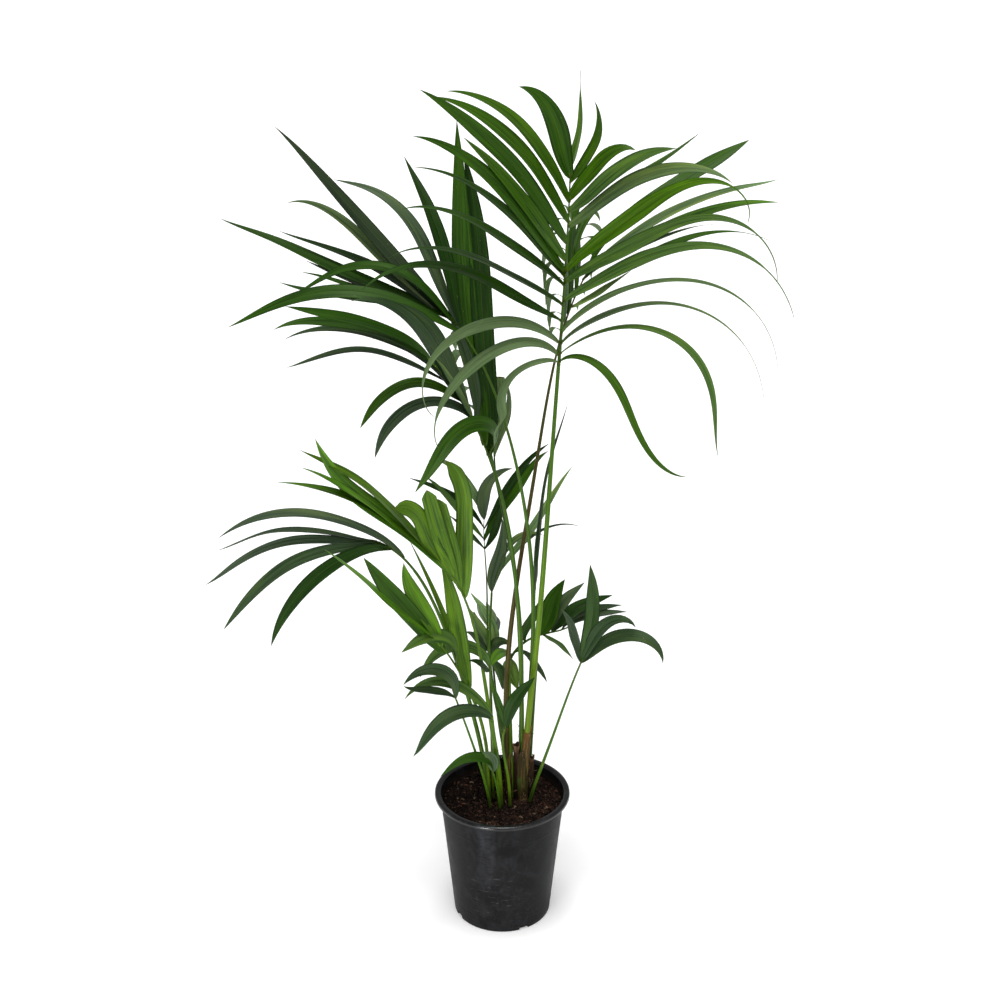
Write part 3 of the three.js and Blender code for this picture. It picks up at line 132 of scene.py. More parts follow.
        ('x1', 0.815, 151.8, 23.8, 0.4, (-11.3, -78.1, 145.9, -92.4), (-18.9, -1.3, -0.2), (-73.0, 24.0, -13.0), 'j', 0, 0, ''),
        ('x2', 0.844, 232.2, 23.8, 0.4, (-31.1, 25.7, -115.9, 53.2), (-20.1, -0.3, -3.8), (-33.0, 6.0, 20.0), 'e', 0, 0, ''),
    ]),
    ('F4', 'main', (34.4, 8.0, 340.0), 536.6, (-1.0, 0.5, 33.4, -173.8, 139.6), (9.6, -31.1, 55.7, -30.2), (2.4, 2.0, 1.4), 0.987, 'green', [
        ('a', 0.996, 146.1, 23.2, 0.6, (3.1, 7.1, -15.8, 6.7), (-0.0, 0.0, -0.0), (89.0, -2.0, 3.0), 'j', 0, 0, 'blunt'),
        ('b', 0.996, 141.1, 18.0, 0.5, (15.5, 11.6, 5.1, -65.4), (4.0, 0.3, -0.1), (21.0, -16.0, 30.0), 'j', 0, 0, 'thin'),
    ]),
    ('F6', 'second', (10.2, 14.0, 294.7), 451.4, (1.9, -197.9, 724.5, -731.8, -47.4, 255.3), (11.0, 40.0, -127.9, 90.4), (2.6, 1.8, 0.8), 0.867, 'green', [
        ('l1', 0.96, 162.5, 16.5, 0.4, (-28.2, -55.5, -49.1, 59.2), (10.5, 0.7, -0.6), (-16.0, 12.0, -10.0), 'a', 0, 0, 'thin'),
        ('l2', 0.915, 161.4, 16.5, 0.4, (-33.6, -42.0, 116.2, -96.8), (0.0, -0.0, 0.0), (-30.0, -2.0, 5.0), 'h', 0, 0, 'thin'),
        ('l3', 1.0, 155.4, 16.5, 0.35, (-9.3, -124.5, 268.9, -255.4), (7.0, 1.2, -0.7), (-31.0, 22.0, -14.0), 'l', 0, 0, 'thin'),
        ('l4', 0.877, 93.4, 16.5, 0.35, (-40.1, 2.2, -15.9, 2.7), (0.0, -0.0, 0.0), (-13.0, 0.0, 3.0), 'c', 0, 0, 'thin'),
        ('r1', 0.91, 196.5, 20.1, 0.5, (20.8, 55.0, 60.9, -357.2, 281.8), (22.7, -24.4, 1.2), (17.0, 2.0, -5.0), 'c', 0, 0, ''),
        ('r2', 0.954, 192.5, 18.0, 0.5, (34.1, -14.2, 26.6, 8.7), (29.7, -34.3, 2.5), (-0.0, 4.0, -9.0), 'a', 0, 0, 'thin'),
        ('r3', 0.996, 123.6, 23.6, 0.35, (-8.3, 9.6, 115.1, -27.4), (-0.0, 0.0, -0.0), (-64.0, -28.0, -8.0), 'g', 0, 0, ''),
        ('r4', 0.877, 99.8, 16.5, 0.4, (33.3, -40.3, 29.4, -21.0), (0.0, -0.0, 0.0), (42.0, 12.0, 1.0), 'a', 0, 0, 'thin'),
    ]),
    ('F7', 'second', (11.1, 14.0, 273.8), 353.3, (3.0, -155.2, 446.0, -410.3, 118.2), (6.1, 76.8, -207.5, 136.5), (3.6, 2.7, 1.8), 0.956, 'green', [
        ('a', 0.969, 148.3, 25.6, 0.35, (-7.5, 145.0, -272.4, 130.8), (-3.7, -0.5, 0.4), (-103.0, -45.0, 52.0), 'g', 0, 0, ''),
        ('b', 0.975, 263.9, 14.6, 0.5, (7.1, 242.3, -621.8, 578.5, -163.1), (4.8, 11.2, 0.4), (36.0, -20.0, 18.0), 'l', 0, 0, 'thin'),
        ('c', 0.996, 156.1, 18.0, 0.55, (29.3, -135.1, 312.1, -74.4), (-9.1, 26.2, 1.7), (44.0, -4.0, -6.0), 'j', 0, 0, 'thin'),
        ('d', 0.973, 211.3, 16.5, 0.4, (20.8, 93.8, -120.8, 121.5), (32.9, -39.3, 3.3), (-37.0, 1.0, -0.0), 'a', 0, 0, 'thin'),
    ]),
    ('SP', 'main', (41.9, 16.0, 335.0), 297.0, (4.5, -9.8, 16.4, -9.5), (4.8, 23.7, -89.1, 62.9), (2.6, 2.2, 1.6), 0.945, 'green', [
        ('sp1', 0.96, 363.8, 22.0, 0.3, (1.4, 30.0, -149.7, 322.1, -192.1), (3.0, 0.3, -0.0), (-39.0, -3.0, -4.0), 'a', 0, 0, ''),
        ('sp2', 0.988, 85.7, 24.0, 0.3, (1.7, 7.4, -3.2, -5.4), (-4.0, -0.0, -0.0), (84.0, -6.0, 7.0), 'b', 0, 0, ''),
    ]),
    ('F8', 'low', (-1.6, -16.8, 225.1), 554.0, (-3.7, -30.2, 92.5, -91.0, -2.7), (4.7, -27.5, 10.6, -12.9), (4.32, 3.12, 1.2), 0.802, 'green', [
        ('A', 0.81, 277.5, 29.5, 0.4, (4.5, -59.1, 202.8, -194.5), (-7.3, -0.7, -0.4), (157.0, -26.0, 43.0), 'm', 0, 0, 'strap'),
        ('B', 0.846, 210.1, 27.6, 0.55, (-6.4, -16.9, 22.3, -9.9), (-16.4, -2.3, 0.8), (-150.0, 11.0, -8.0), 'm', 0, 0, 'strap'),
        ('C', 0.873, 226.3, 27.6, 0.55, (-14.9, -6.6, 41.0, -31.7), (-18.7, -1.4, 0.1), (-130.0, -9.0, 4.0), 'm', 0, 0, 'strap'),
        ('D', 0.908, 212.2, 29.9, 0.5, (-6.6, -231.7, 721.7, -594.1), (-21.5, 13.8, -19.6), (-126.0, -58.0, 83.0), 'm', 0, 0, 'strap'),
        ('E', 0.954, 382.7, 28.6, 0.5, (-35.0, 66.9, -487.8, 852.5, -411.6), (-19.2, -8.8, 7.5), (-81.0, 54.0, -65.0), 'i', 0, 0, 'full'),
        ('F', 0.988, 360.3, 24.0, 0.55, (-29.4, -45.2, 252.5, -522.1, 295.6), (-18.4, -2.3, -2.2), (-40.0, -1.0, 19.0), 'm', 0, 0, 'full'),
        ('G', 0.998, 349.6, 24.0, 0.5, (-34.3, -26.1, 76.4, -91.9, 19.8), (-23.8, -0.5, -4.1), (-29.0, -4.0, 16.0), 'i', 0, 0, 'full'),
        ('H', 1.0, 370.6, 24.0, 0.5, (-37.9, 31.6, -119.9, 54.9), (-23.1, -2.7, -4.8), (-33.0, 4.0, 22.0), 'f', 0, 0, 'full'),
    ]),
    ('F9', 'F9', (-22.5, 12.0, 225.1), 540.8, (-6.7, -15.7, -22.9, -63.1, 322.4, -300.9), (-1.9, 39.6, -73.2, 59.2), (4.2, 3.4, 2.2), 0.833, 'green', [
        ('1', 0.89, 378.9, 22.4, 0.45, (-36.3, -244.4, 585.0, -814.2, 380.2), (14.7, 0.4, -3.5), (-9.0, 5.0, -31.0), 'g', 0, 0, 'full'),
        ('2', 0.996, 339.1, 22.4, 0.4, (-97.1, 88.2, -273.8, 116.0, 50.1), (24.1, -3.4, -1.8), (7.0, -3.0, -21.0), 'e', 0, 0, 'full'),
        ('3', 0.992, 365.8, 22.4, 0.45, (-97.8, 56.9, -204.2, 18.0, 102.2), (15.7, -2.1, -1.2), (-17.0, -9.0, -17.0), 'g', 0, 0, 'full'),
        ('4', 0.979, 363.2, 24.5, 0.5, (-100.3, 41.6, -351.1, 403.7, -140.4), (6.4, -1.5, 0.2), (-33.0, -16.0, -10.0), 'e', 0, 0, 'full'),
        ('5', 0.938, 313.4, 26.2, 0.5, (-75.5, -262.5, 497.7, -510.6, 186.3), (0.0, -0.0, 0.0), (-43.0, -18.0, -7.0), 'a', 0, 0, 'full'),
    ]),
    ('F10', 'F10', (-20.9, -4.0, 225.1), 398.0, (-6.2, 69.9, -344.6, 441.4, -190.1), (-1.9, -19.2, 6.1, -9.2), (3.36, 2.88, 1.44), 0.632, 'green', [
        ('w4', 0.644, 267.6, 29.5, 0.45, (-7.6, -13.6, 55.0, -55.3), (-5.9, 0.1, -0.6), (-120.0, -10.0, 15.0), 'm', 0, 0, 'full'),
        ('w2', 0.904, 260.3, 31.7, 0.5, (-47.0, 174.6, -607.6, 819.3, -369.3), (-15.4, 0.2, -0.8), (-86.0, -14.0, 9.0), 'c', 0, 0, 'full'),
        ('w3', 0.954, 182.6, 29.3, 0.5, (-12.9, -57.3, 65.7, 2.7), (-8.4, -1.7, 1.5), (-110.0, 40.0, -47.0), 'f', 0, 0, 'full'),
        ('w1', 0.996, 297.8, 26.8, 0.4, (-39.0, -10.1, 54.3, -49.5), (-18.7, 0.2, -1.9), (-17.0, -11.0, 11.0), 'i', 0, 0, 'full'),
        ('s1', 0.8, 162.7, 29.3, 0.5, (3.3, 61.0, -562.0, 381.0), (-14.1, -14.0, 2.6), (-110.0, 0.0, 0.0), 'h', 0, 0, ''),
        ('x', 0.644, 292.0, 9.8, 0.4, (-14.0, -14.0, 2.0), (9.0, -3.0), (130.0, 0.0), 'm', 0, 0, 'thin'),
    ]),
    ('F11', 'second', (10.7, 16.0, 314.3), 309.8, (-1.5, 126.8, -1146.7, 2754.7, -1685.1), (38.8, -118.8, 155.4, -44.0), (3.9, 3.0, 1.35), 0.54, 'green', [
        ('a', 0.773, 110.2, 35.0, 0.4, (45.3, -191.7, 360.0, -179.6), (18.5, -12.0, 9.8), (32.0, 14.0, -16.0), 'c', 0, 0, ''),
        ('b', 0.812, 115.6, 25.8, 0.35, (22.5, -6.2, 147.8, -111.5), (26.4, -13.8, 10.3), (12.0, -1.0, 2.0), 'g', 0, 0, ''),
        ('c', 0.846, 141.9, 25.9, 0.35, (42.6, 53.7, 56.4, -64.1), (35.8, -10.9, 4.6), (17.0, 21.0, -4.0), 'a', 0, 0, ''),
        ('d', 0.912, 145.5, 22.5, 0.4, (47.8, 151.4, -146.9, 51.3), (47.6, -26.2, 7.2), (-15.0, 56.0, -27.0), 'e', 0, 0, 'thin'),
        ('e', 0.954, 135.4, 20.6, 0.4, (67.5, 95.6, -91.7, 42.2), (37.7, -9.6, 2.3), (-4.0, 30.0, -8.0), 'g', 0, 0, 'thin'),
        ('f', 0.787, 76.2, 20.6, 0.3, (115.4, -110.9, 320.8, -203.6), (-28.3, -29.9, 20.9), (-11.0, -6.0, -4.0), 'h', 0, 0, 'thin'),
        ('g', 0.59, 98.3, 16.9, 0.35, (57.1, 436.6, -785.9, 406.9), (12.0, -154.3, 69.4), (10.0, 0.0, 0.0), 'e', 0, 0, 'thin'),
        ('h', 0.554, 74.3, 28.2, 0.4, (-164.6, -91.1, 77.7, -30.1), (29.4, -14.5, -77.7), (-150.0, 0.0, 0.0), 'k', 0, 0, ''),
        ('i', 0.571, 106.4, 20.9, 0.4, (-30.1, -64.8, -16.3, 21.2), (-30.2, -83.8, 34.0), (-25.0, 0.0, 0.0), 'i', 0, 0, 'thin'),
        ('j', 0.677, 89.9, 22.5, 0.4, (-26.4, 262.9, -363.5, 138.9), (9.3, 1.5, -1.4), (-35.0, 0.0, 0.0), 'b', 0, 0, 'thin'),
    ]),
    ('F12', 'F12', (48.1, -9.5, 225.1), 342.7, (12.1, 37.4, -119.5, 132.1, -45.6), (-4.8, 5.5, -50.5, 34.8), (3.1, 2.3, 1.6), 0.972, 'green', [
        ('a', 0.992, 193.8, 27.0, 0.45, (13.4, -0.6, -52.9, 30.3), (-4.1, -0.2, 0.0), (76.0, 10.0, 6.0), 'a', 0, 0, 'full'),
        ('b', 0.985, 116.2, 22.4, 0.45, (-15.0, 1.7, 18.9, -41.2), (-6.8, 0.0, -0.5), (-59.0, -16.0, 27.0), 'g', 0, 0, 'full'),
        ('c', 0.994, 155.1, 24.5, 0.5, (17.3, 27.9, -110.6, 217.7), (-14.0, 1.0, -6.8), (79.0, 6.0, -55.0), 'e', 0, 0, 'full'),
        ('d', 0.985, 197.5, 24.5, 0.5, (36.0, -25.6, 156.0, 16.0), (-16.1, -12.2, 4.4), (67.0, -48.0, 7.0), 'e', 0, 0, 'full'),
    ]),
    ('S2', 'S2', (-14.8, 0.0, 225.1), 282.9, (-3.0, 9.9, -8.1, -2.9), (0.4, -5.5, 20.3, -33.9), (2.53, 2.07, 1.38), 0.953, 'green', [
        ('a', 0.992, 171.5, 25.3, 0.45, (-2.3, -269.9, 365.0, -477.8, 237.8), (8.8, -47.9, -10.9), (-11.0, 80.0, -39.0), 'h', 0, 0, ''),
        ('b', 0.969, 74.8, 18.0, 0.5, (-21.7, -57.2, 231.0, -263.5), (-42.2, -26.9, 70.2), (-59.0, -43.0, 56.0), 'a', 0, 0, 'thin'),
    ]),
    ('S3', 'S3', (-20.7, -28.6, 225.1), 264.7, (-5.8, -39.8, 63.0, -33.6), (-2.9, -14.2, -10.7, 14.5), (2.75, 2.17, 1.59), 0.979, 'green', [
        ('a', 1.0, 147.6, 23.1, 0.5, (4.0, -4.9, -366.3, 227.2), (-12.3, -6.5, 10.1), (-190.0, 154.0, -92.0), 'e', 0, 0, ''),
        ('b', 0.996, 101.8, 18.0, 0.5, (-34.0, -101.4, -6.9, 84.4), (-20.7, 1.6, 18.0), (-50.0, 68.0, -55.0), 'e', 0, 0, 'thin'),
    ]),
    ('S5', 'low', (-4.0, -19.7, 225.1), 203.3, (2.2, -24.7, 10.7, 10.7), (-2.3, -18.1, 19.9, -10.8), (4.83, 4.83, 2.76), 0.947, 'green', [
        ('a', 0.969, 200.8, 24.0, 0.5, (-14.1, -219.0, 691.3, -1132.8, 534.1), (-4.0, -12.0, -5.6), (-52.0, 55.0, -19.0), 'h', 0, 0, ''),
        ('b', 0.969, 192.7, 27.0, 0.5, (-30.6, -102.2, -112.2, -33.4, 140.2), (-26.0, -22.0, 39.0), (-82.0, 128.0, -89.0), 'e', 0, 0, ''),
    ]),
    ('S7', 'S7', (-3.7, -33.5, 225.1), 90.7, (-3.6, -10.3, 1.9, -4.3), (-0.7, -20.0, 55.8, -53.2), (2.3, 1.95, 1.61), 0.909, 'green', [
        ('a', 0.958, 131.0, 18.4, 0.4, (6.0, -186.4, -51.7, 106.1), (-12.9, -23.9, 14.1), (-120.0, 0.0, 0.0), 'b', 0, 0, 'thin'),
        ('b', 0.958, 54.1, 24.0, 0.5, (3.9, 17.0, -110.6, 4.2), (-10.2, 2.9, -5.6), (133.0, 13.0, 50.0), 'g', 0, 0, ''),
    ]),
    ('S8', 'S8', (13.9, -23.6, 225.1), 173.7, (-2.2, 17.2, -128.1, 133.6), (-2.5, -11.3, 5.3, 6.7), (2.76, 2.53, 1.84), 0.957, 'green', [
        ('a', 0.99, 131.3, 25.4, 0.5, (10.4, -18.7, 146.6, -105.8), (-12.4, 3.5, 1.7), (117.0, -33.0, 8.0), 'a', 0, 0, ''),
        ('b', 0.983, 78.0, 16.5, 0.5, (6.1, -108.8, 131.5, -34.4), (14.9, 0.0, -0.2), (-18.0, 25.0, -23.0), 'b', 0, 0, 'thin'),
    ]),
    ('S10', 'second', (9.4, 14.0, 261.3), 235.1, (-2.9, -72.9, 196.7, -136.5), (8.0, 126.6, -323.8, 204.2), (2.86, 2.34, 1.69), 0.929, 'green', [
        ('a', 0.992, 94.9, 22.3, 0.5, (-11.6, -52.0, 40.9, 8.7), (-0.0, 0.0, -0.0), (-64.0, 29.0, -27.0), 'j', 0, 0, ''),
        ('b', 0.992, 73.1, 16.5, 0.5, (-28.3, -64.4, 205.3, -190.1), (-15.9, 4.6, -6.7), (-61.0, -21.0, 38.0), 'g', 0, 0, 'thin'),
        ('c', 0.975, 130.3, 18.6, 0.35, (25.1, -95.2, -36.4, 69.4), (8.5, 0.9, -0.3), (38.0, 50.0, -27.0), 'l', 0, 0, 'thin'),
        ('d', 0.983, 65.7, 20.4, 0.5, (12.6, 2.5, 52.3, 75.3), (-22.2, 2.0, -18.4), (123.0, -25.0, -64.0), 'e', 0, 0, ''),
        ('e', 0.948, 68.6, 18.6, 0.45, (104.9, 70.9, 128.7, -128.2), (-63.7, 53.2, 31.4), (16.0, -24.0, 23.0), 'j', 0, 0, 'thin'),
    ]),
    ('E1', 'E1', (45.3, 30.2, 225.1), 1083.8, (2.5, -2.0, 59.5, -163.1, 142.3, -24.2), (-8.9, 149.6, -398.2, 341.5), (4.6, 3.4, 1.2), 0.75, 'green', [
        ('a1', 0.777, 94.3, 8.6, 0.45, (-62.4, -171.3, -110.8, 176.0), (81.4, -60.4, 23.6), (18.0, 14.0, 0.0), 'd', 0, 0, 'thin'),
        ('a2', 0.777, 109.3, 11.0, 0.45, (116.2, -120.0, 160.1, 44.8), (71.4, 62.3, -91.2), (-18.0, -14.0, 0.0), 'j', 0, 0, 'thin'),
        ('b1', 0.802, 126.9, 8.6, 0.45, (-45.9, -385.5, 292.9, -32.2), (75.5, -79.1, 49.8), (18.0, 14.0, 0.0), 'c', 0, 0, 'thin'),
        ('b2', 0.802, 140.6, 12.0, 0.45, (113.0, -133.4, 357.1, -145.5), (74.7, 25.1, -59.3), (-18.0, -14.0, 0.0), 'd', 0, 0, 'thin'),
        ('c1', 0.829, 149.5, 8.6, 0.45, (-33.2, -525.9, 600.9, -217.0), (71.9, -79.8, 53.2), (18.0, 14.0, 0.0), 'j', 0, 0, 'thin'),
        ('c2', 0.829, 171.5, 12.0, 0.45, (104.6, -133.0, 456.5, -245.7), (78.6, -12.9, -21.7), (-18.0, -14.0, 0.0), 'c', 0, 0, 'thin'),
        ('d1', 0.856, 162.3, 9.4, 0.45, (-28.5, -527.7, 588.1, -206.3), (68.3, -70.7, 45.0), (18.0, 14.0, 0.0), 'd', 0, 0, 'thin'),
        ('d2', 0.856, 194.3, 12.0, 0.45, (104.9, -217.1, 668.6, -377.8), (77.3, -15.9, -19.7), (-18.0, -14.0, 0.0), 'j', 0, 0, 'thin'),
        ('e1', 0.881, 169.9, 9.4, 0.45, (-30.7, -444.7, 399.2, -95.7), (68.3, -64.3, 37.2), (18.0, 14.0, 0.0), 'c', 0, 0, 'thin'),
        ('e2', 0.881, 198.6, 12.0, 0.45, (70.4, -44.8, 398.0, -246.3), (77.6, -27.5, -9.8), (-18.0, -14.0, 0.0), 'd', 0, 0, 'thin'),
        ('f1', 0.906, 168.0, 9.4, 0.45, (-29.2, -382.1, 259.1, -18.6), (68.0, -56.9, 29.0), (18.0, 14.0, 0.0), 'j', 0, 0, 'thin'),
        ('f2', 0.906, 200.4, 13.0, 0.45, (50.0, 80.1, 169.4, -122.8), (75.7, -27.6, -7.4), (-18.0, -14.0, 0.0), 'c', 0, 0, 'thin'),
        ('g1', 0.933, 163.8, 9.4, 0.45, (-26.6, -389.5, 275.3, -30.9), (70.6, -58.9, 30.0), (18.0, 14.0, 0.0), 'd', 0, 0, 'thin'),
        ('g2', 0.933, 194.0, 13.0, 0.45, (35.5, 173.1, 10.4, -45.5), (74.0, -31.7, -1.7), (-18.0, -14.0, 0.0), 'j', 0, 0, 'thin'),
        ('h1', 0.967, 141.1, 9.4, 0.45, (-10.2, -405.5, 238.8, 5.2), (72.9, -48.8, 16.6), (18.0, 14.0, 0.0), 'c', 0, 0, 'thin'),
        ('h2', 0.967, 170.1, 13.0, 0.45, (21.4, 222.2, -90.7, 17.7), (74.5, -21.6, -12.6), (-18.0, -14.0, 0.0), 'd', 0, 0, 'thin'),
        ('i1', 0.988, 102.6, 9.4, 0.45, (-24.8, 65.0, -362.3, 128.0), (71.3, 52.2, -88.7), (18.0, 14.0, 0.0), 'j', 0, 0, 'thin'),
        ('i2', 0.988, 131.5, 13.0, 0.45, (21.3, 86.6, -23.4, 94.0), (73.7, 29.4, -63.7), (-18.0, -14.0, 0.0), 'c', 0, 0, 'thin'),
    ]),
    ('E2', 'E2', (33.9, 32.5, 225.1), 903.1, (-1.8, 30.0, -35.8, -436.9, 862.4, -422.8), (5.1, 30.1, -128.4, 166.9), (4.2, 3.0, 1.1), 0.729, 'green', [
        ('a1', 0.738, 106.2, 22.0, 0.45, (-82.8, 156.9, -629.2, 371.9), (66.8, 4.2, -42.7), (18.0, 14.0, 0.0), 'e', 0, 0, ''),
        ('a2', 0.738, 102.7, 22.0, 0.45, (106.1, 634.7, -399.8, 9.8), (76.2, 118.7, -52.1), (-18.0, -14.0, 0.0), 'h', 0, 0, ''),
        ('b1', 0.765, 130.7, 22.0, 0.45, (-105.1, 262.8, -784.1, 444.6), (73.2, -0.4, -39.8), (18.0, 14.0, 0.0), 'c', 0, 0, ''),
        ('b2', 0.765, 135.1, 22.0, 0.45, (74.1, -843.4, 1736.4, -983.2), (59.7, 157.6, -71.4), (-18.0, -14.0, 0.0), 'e', 0, 0, ''),
        ('c1', 0.794, 152.8, 22.0, 0.45, (-66.3, 68.7, -545.1, 367.3), (79.1, -30.2, -15.3), (18.0, 14.0, 0.0), 'h', 0, 0, ''),
        ('c2', 0.794, 157.8, 24.0, 0.45, (62.3, -698.2, 1465.5, -847.7), (54.6, 197.1, -112.5), (-18.0, -14.0, 0.0), 'c', 0, 0, ''),
        ('d1', 0.825, 176.1, 22.0, 0.45, (-36.0, -106.3, -291.7, 260.4), (79.1, -36.3, -10.3), (18.0, 14.0, 0.0), 'e', 0, 0, ''),
        ('d2', 0.825, 170.0, 24.0, 0.45, (66.7, -693.2, 1442.7, -835.3), (49.2, 230.7, -146.5), (-18.0, -14.0, 0.0), 'h', 0, 0, ''),
        ('e1', 0.856, 186.1, 22.0, 0.45, (-19.1, -192.0, -133.2, 168.1), (77.4, -25.6, -20.8), (18.0, 14.0, 0.0), 'c', 0, 0, ''),
        ('e2', 0.856, 179.9, 24.0, 0.45, (69.2, -718.2, 1484.5, -854.3), (47.3, 234.1, -148.5), (-18.0, -14.0, 0.0), 'e', 0, 0, ''),
        ('f1', 0.89, 190.0, 24.0, 0.45, (-101.8, 1300.7, -2606.2, 1420.5), (49.9, 215.0, -128.9), (18.0, 14.0, 0.0), 'h', 0, 0, ''),
        ('f2', 0.89, 179.5, 24.0, 0.45, (73.2, -801.4, 1654.9, -944.6), (46.8, 218.8, -127.7), (-18.0, -14.0, 0.0), 'c', 0, 0, ''),
        ('g1', 0.923, 169.8, 24.0, 0.45, (-97.7, 1483.7, -2984.3, 1599.6), (49.1, 204.7, -113.1), (18.0, 14.0, 0.0), 'e', 0, 0, ''),
        ('g2', 0.923, 163.6, 24.0, 0.45, (67.3, -655.8, 1199.9, -607.5), (35.9, 218.9, -105.8), (-18.0, -14.0, 0.0), 'h', 0, 0, ''),
        ('h1', 0.96, 144.8, 24.0, 0.45, (49.4, -889.2, 2089.7, -1268.3), (72.0, -74.6, 189.9), (18.0, 14.0, 0.0), 'c', 0, 0, ''),
        ('h2', 0.96, 149.1, 24.0, 0.45, (8.8, 323.3, -1010.7, 703.3), (59.8, 24.1, 98.7), (-18.0, -14.0, 0.0), 'e', 0, 0, ''),
    ]),
    ('E3', 'E3', (-16.8, 36.6, 225.1), 337.1, (-1.1, 1.1, -5.5, 3.8), (1.3, 43.8, -182.3, 252.7), (2.8, 2.2, 1.0), 0.75, 'green', [
        ('a1', 0.787, 104.8, 22.0, 0.45, (-120.8, 37.6, 24.2, -17.5), (57.2, 51.1, -25.3), (18.0, 14.0, 0.0), 'g', 0, 0, ''),
        ('a2', 0.787, 113.2, 22.0, 0.45, (146.5, -27.6, 15.4, 24.8), (65.0, 21.0, -38.7), (-18.0, -14.0, 0.0), 'l', 0, 0, ''),
        ('b1', 0.844, 124.2, 22.0, 0.45, (-114.3, 26.9, -6.7, 19.6), (64.9, 27.6, -7.6), (18.0, 14.0, 0.0), 'j', 0, 0, ''),
        ('b2', 0.844, 122.0, 24.0, 0.45, (134.8, -27.5, -22.0, 174.4), (71.7, 28.1, -16.2), (-18.0, -14.0, 0.0), 'g', 0, 0, ''),
        ('c1', 0.935, 132.4, 24.0, 0.45, (-125.2, 7.3, 2.9, -3.3), (78.3, -0.6, 3.5), (18.0, 14.0, 0.0), 'l', 0, 0, ''),
        ('c2', 0.935, 132.0, 24.0, 0.45, (128.9, 148.9, 50.7, -99.1), (78.8, 20.1, -25.3), (18.0, 14.0, 0.0), 'j', 0, 0, ''),
    ]),
]

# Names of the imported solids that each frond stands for.
FROND_NODES = {
    "F1": ("tall_right", ("frond_tall_right_low", "frond_tall_right_middle", "frond_tall_right_top")),
    "F5": ("upper_back", ("frond_upper_back",)),
    "F3": ("upper_middle", ("frond_upper_middle",)),
    "F2": ("upper_left", ("frond_upper_left_low", "frond_upper_left_top")),
    "F4": ("strap_middle", ("frond_strap_middle",)),
    "SP": ("spear_slim", ("frond_spear_slim",)),
    "F6": ("middle_back", ("frond_middle_back",)),
    "F7": ("middle_dark", ("frond_middle_dark",)),
    "F8": ("middle_left", ("frond_middle_left",)),
    "F9": ("low_left", ("frond_low_left",)),
    "F10": ("low_front", ("frond_low_front",)),
    "F11": ("low_middle", ("frond_low_middle",)),
    "F12": ("low_right", ("frond_low_right",)),
    "S2": ("small_left_tall", ("frond_small_left_tall",)),
    "S3": ("small_left", ("frond_small_left",)),
    "S5": ("small_middle", ("frond_small_middle",)),
    "S7": ("small_front", ("frond_small_front",)),
    "S8": ("small_bright", ("frond_small_bright",)),
    "S10": ("small_back", ("frond_small_back",)),
    "E1": ("rear_right", ("frond_rear_right",)),
    "E2": ("rear_left", ("frond_rear_left",)),
    "E3": ("rear_low", ("frond_rear_low",)),
}
# Petioles that share a shoot are one piece, the others are a piece each.
SHOOTS = {
    "main": ("petioles_main", "stem_main", ("F1", "F3", "F2", "F4", "SP")),
    "second": ("petioles_second", "stem_second", ("F5", "F6", "F7", "F11", "S10")),
    "low": ("petioles_low", "stem_low", ("S5", "F8")),
    "F9": ("petiole_low_left", "stalk_low_left", ("F9",)),
    "F10": ("petiole_low_front", "stalk_low_front", ("F10",)),
    "F12": ("petiole_low_right", "stalk_low_right", ("F12",)),
    "S2": ("petiole_small_left_tall", "stalk_small_left_tall", ("S2",)),
    "S3": ("petiole_small_left", "stalk_small_left", ("S3",)),
    "S7": ("petiole_small_front", "stalk_small_front", ("S7",)),
    "S8": ("petiole_small_bright", "stalk_small_bright", ("S8",)),
    "E1": ("petiole_rear_right", "stalk_rear_right", ("E1",)),
    "E2": ("petiole_rear_left", "stalk_rear_left", ("E2",)),
    "E3": ("petiole_rear_low", "stalk_rear_low", ("E3",)),
}

# Heights at which petiole solids start inside the main sheath, which covers them below.
SHEATHED = {"F1": 0.338, "F2": 0.262, "F3": 0.262}

# ------------------------------------------------------------------ colours
def lin(rgb, k=1.0):
    """An sRGB colour of 0 to 255 as a linear one, times k."""
    out = []
    for v in rgb:
        v = v / 255.0
        out.append(min(1.0, k * (v / 12.92 if v <= 0.04045 else ((v + 0.055) / 1.055) ** 2.4)))
    return out

# Leaf tones: the plain colour of each, dealt out by leaflet.
# Leaf tones, from dark to light: the plain colour of each, dealt out by leaflet.
TONES = {
    'a': (19, 47, 6),
    'b': (31, 63, 4),
    'c': (40, 74, 6),
    'd': (50, 84, 7),
    'e': (46, 65, 43),
    'f': (62, 98, 11),
    'g': (61, 77, 60),
    'h': (70, 99, 46),
    'i': (74, 117, 26),
    'j': (82, 104, 66),
    'k': (103, 132, 58),
    'l': (106, 134, 89),
    'm': (62, 93, 8),
    'n': (20, 33, 21),
}
# Bark of petiole and rib: colours at the foot, a quarter, half and the tip.
BARKS = {
    "green": ((46, 68, 16), (62, 96, 16), (52, 88, 14), (60, 90, 20)),
    "bright": ((92, 112, 22), (92, 124, 14), (60, 98, 12), (60, 92, 22)),
    "dark": ((36, 56, 14), (36, 66, 10), (34, 64, 12), (46, 74, 18)),
    "brown": ((62, 54, 24), (68, 58, 24), (66, 52, 22), (60, 66, 22)),
    "lime": ((60, 78, 16), (84, 112, 18), (68, 100, 14), (64, 94, 20)),
}
BARK_OF = {"F1": "bright", "F2": "green", "F3": "green", "F5": "brown", "F4": "dark", "SP": "dark", "F6": "green",
           "F7": "green", "F8": "lime", "F9": "green", "F10": "lime", "F11": "green", "F12": "green", "S2": "lime",
           "S3": "green", "S5": "lime", "S7": "green", "S8": "lime", "S10": "green", "E1": "green", "E2": "green",
           "E3": "green"}

# ------------------------------------------------------------------ growth lines
def poly(c, u):
    return sum(a * u ** k for k, a in enumerate(c))


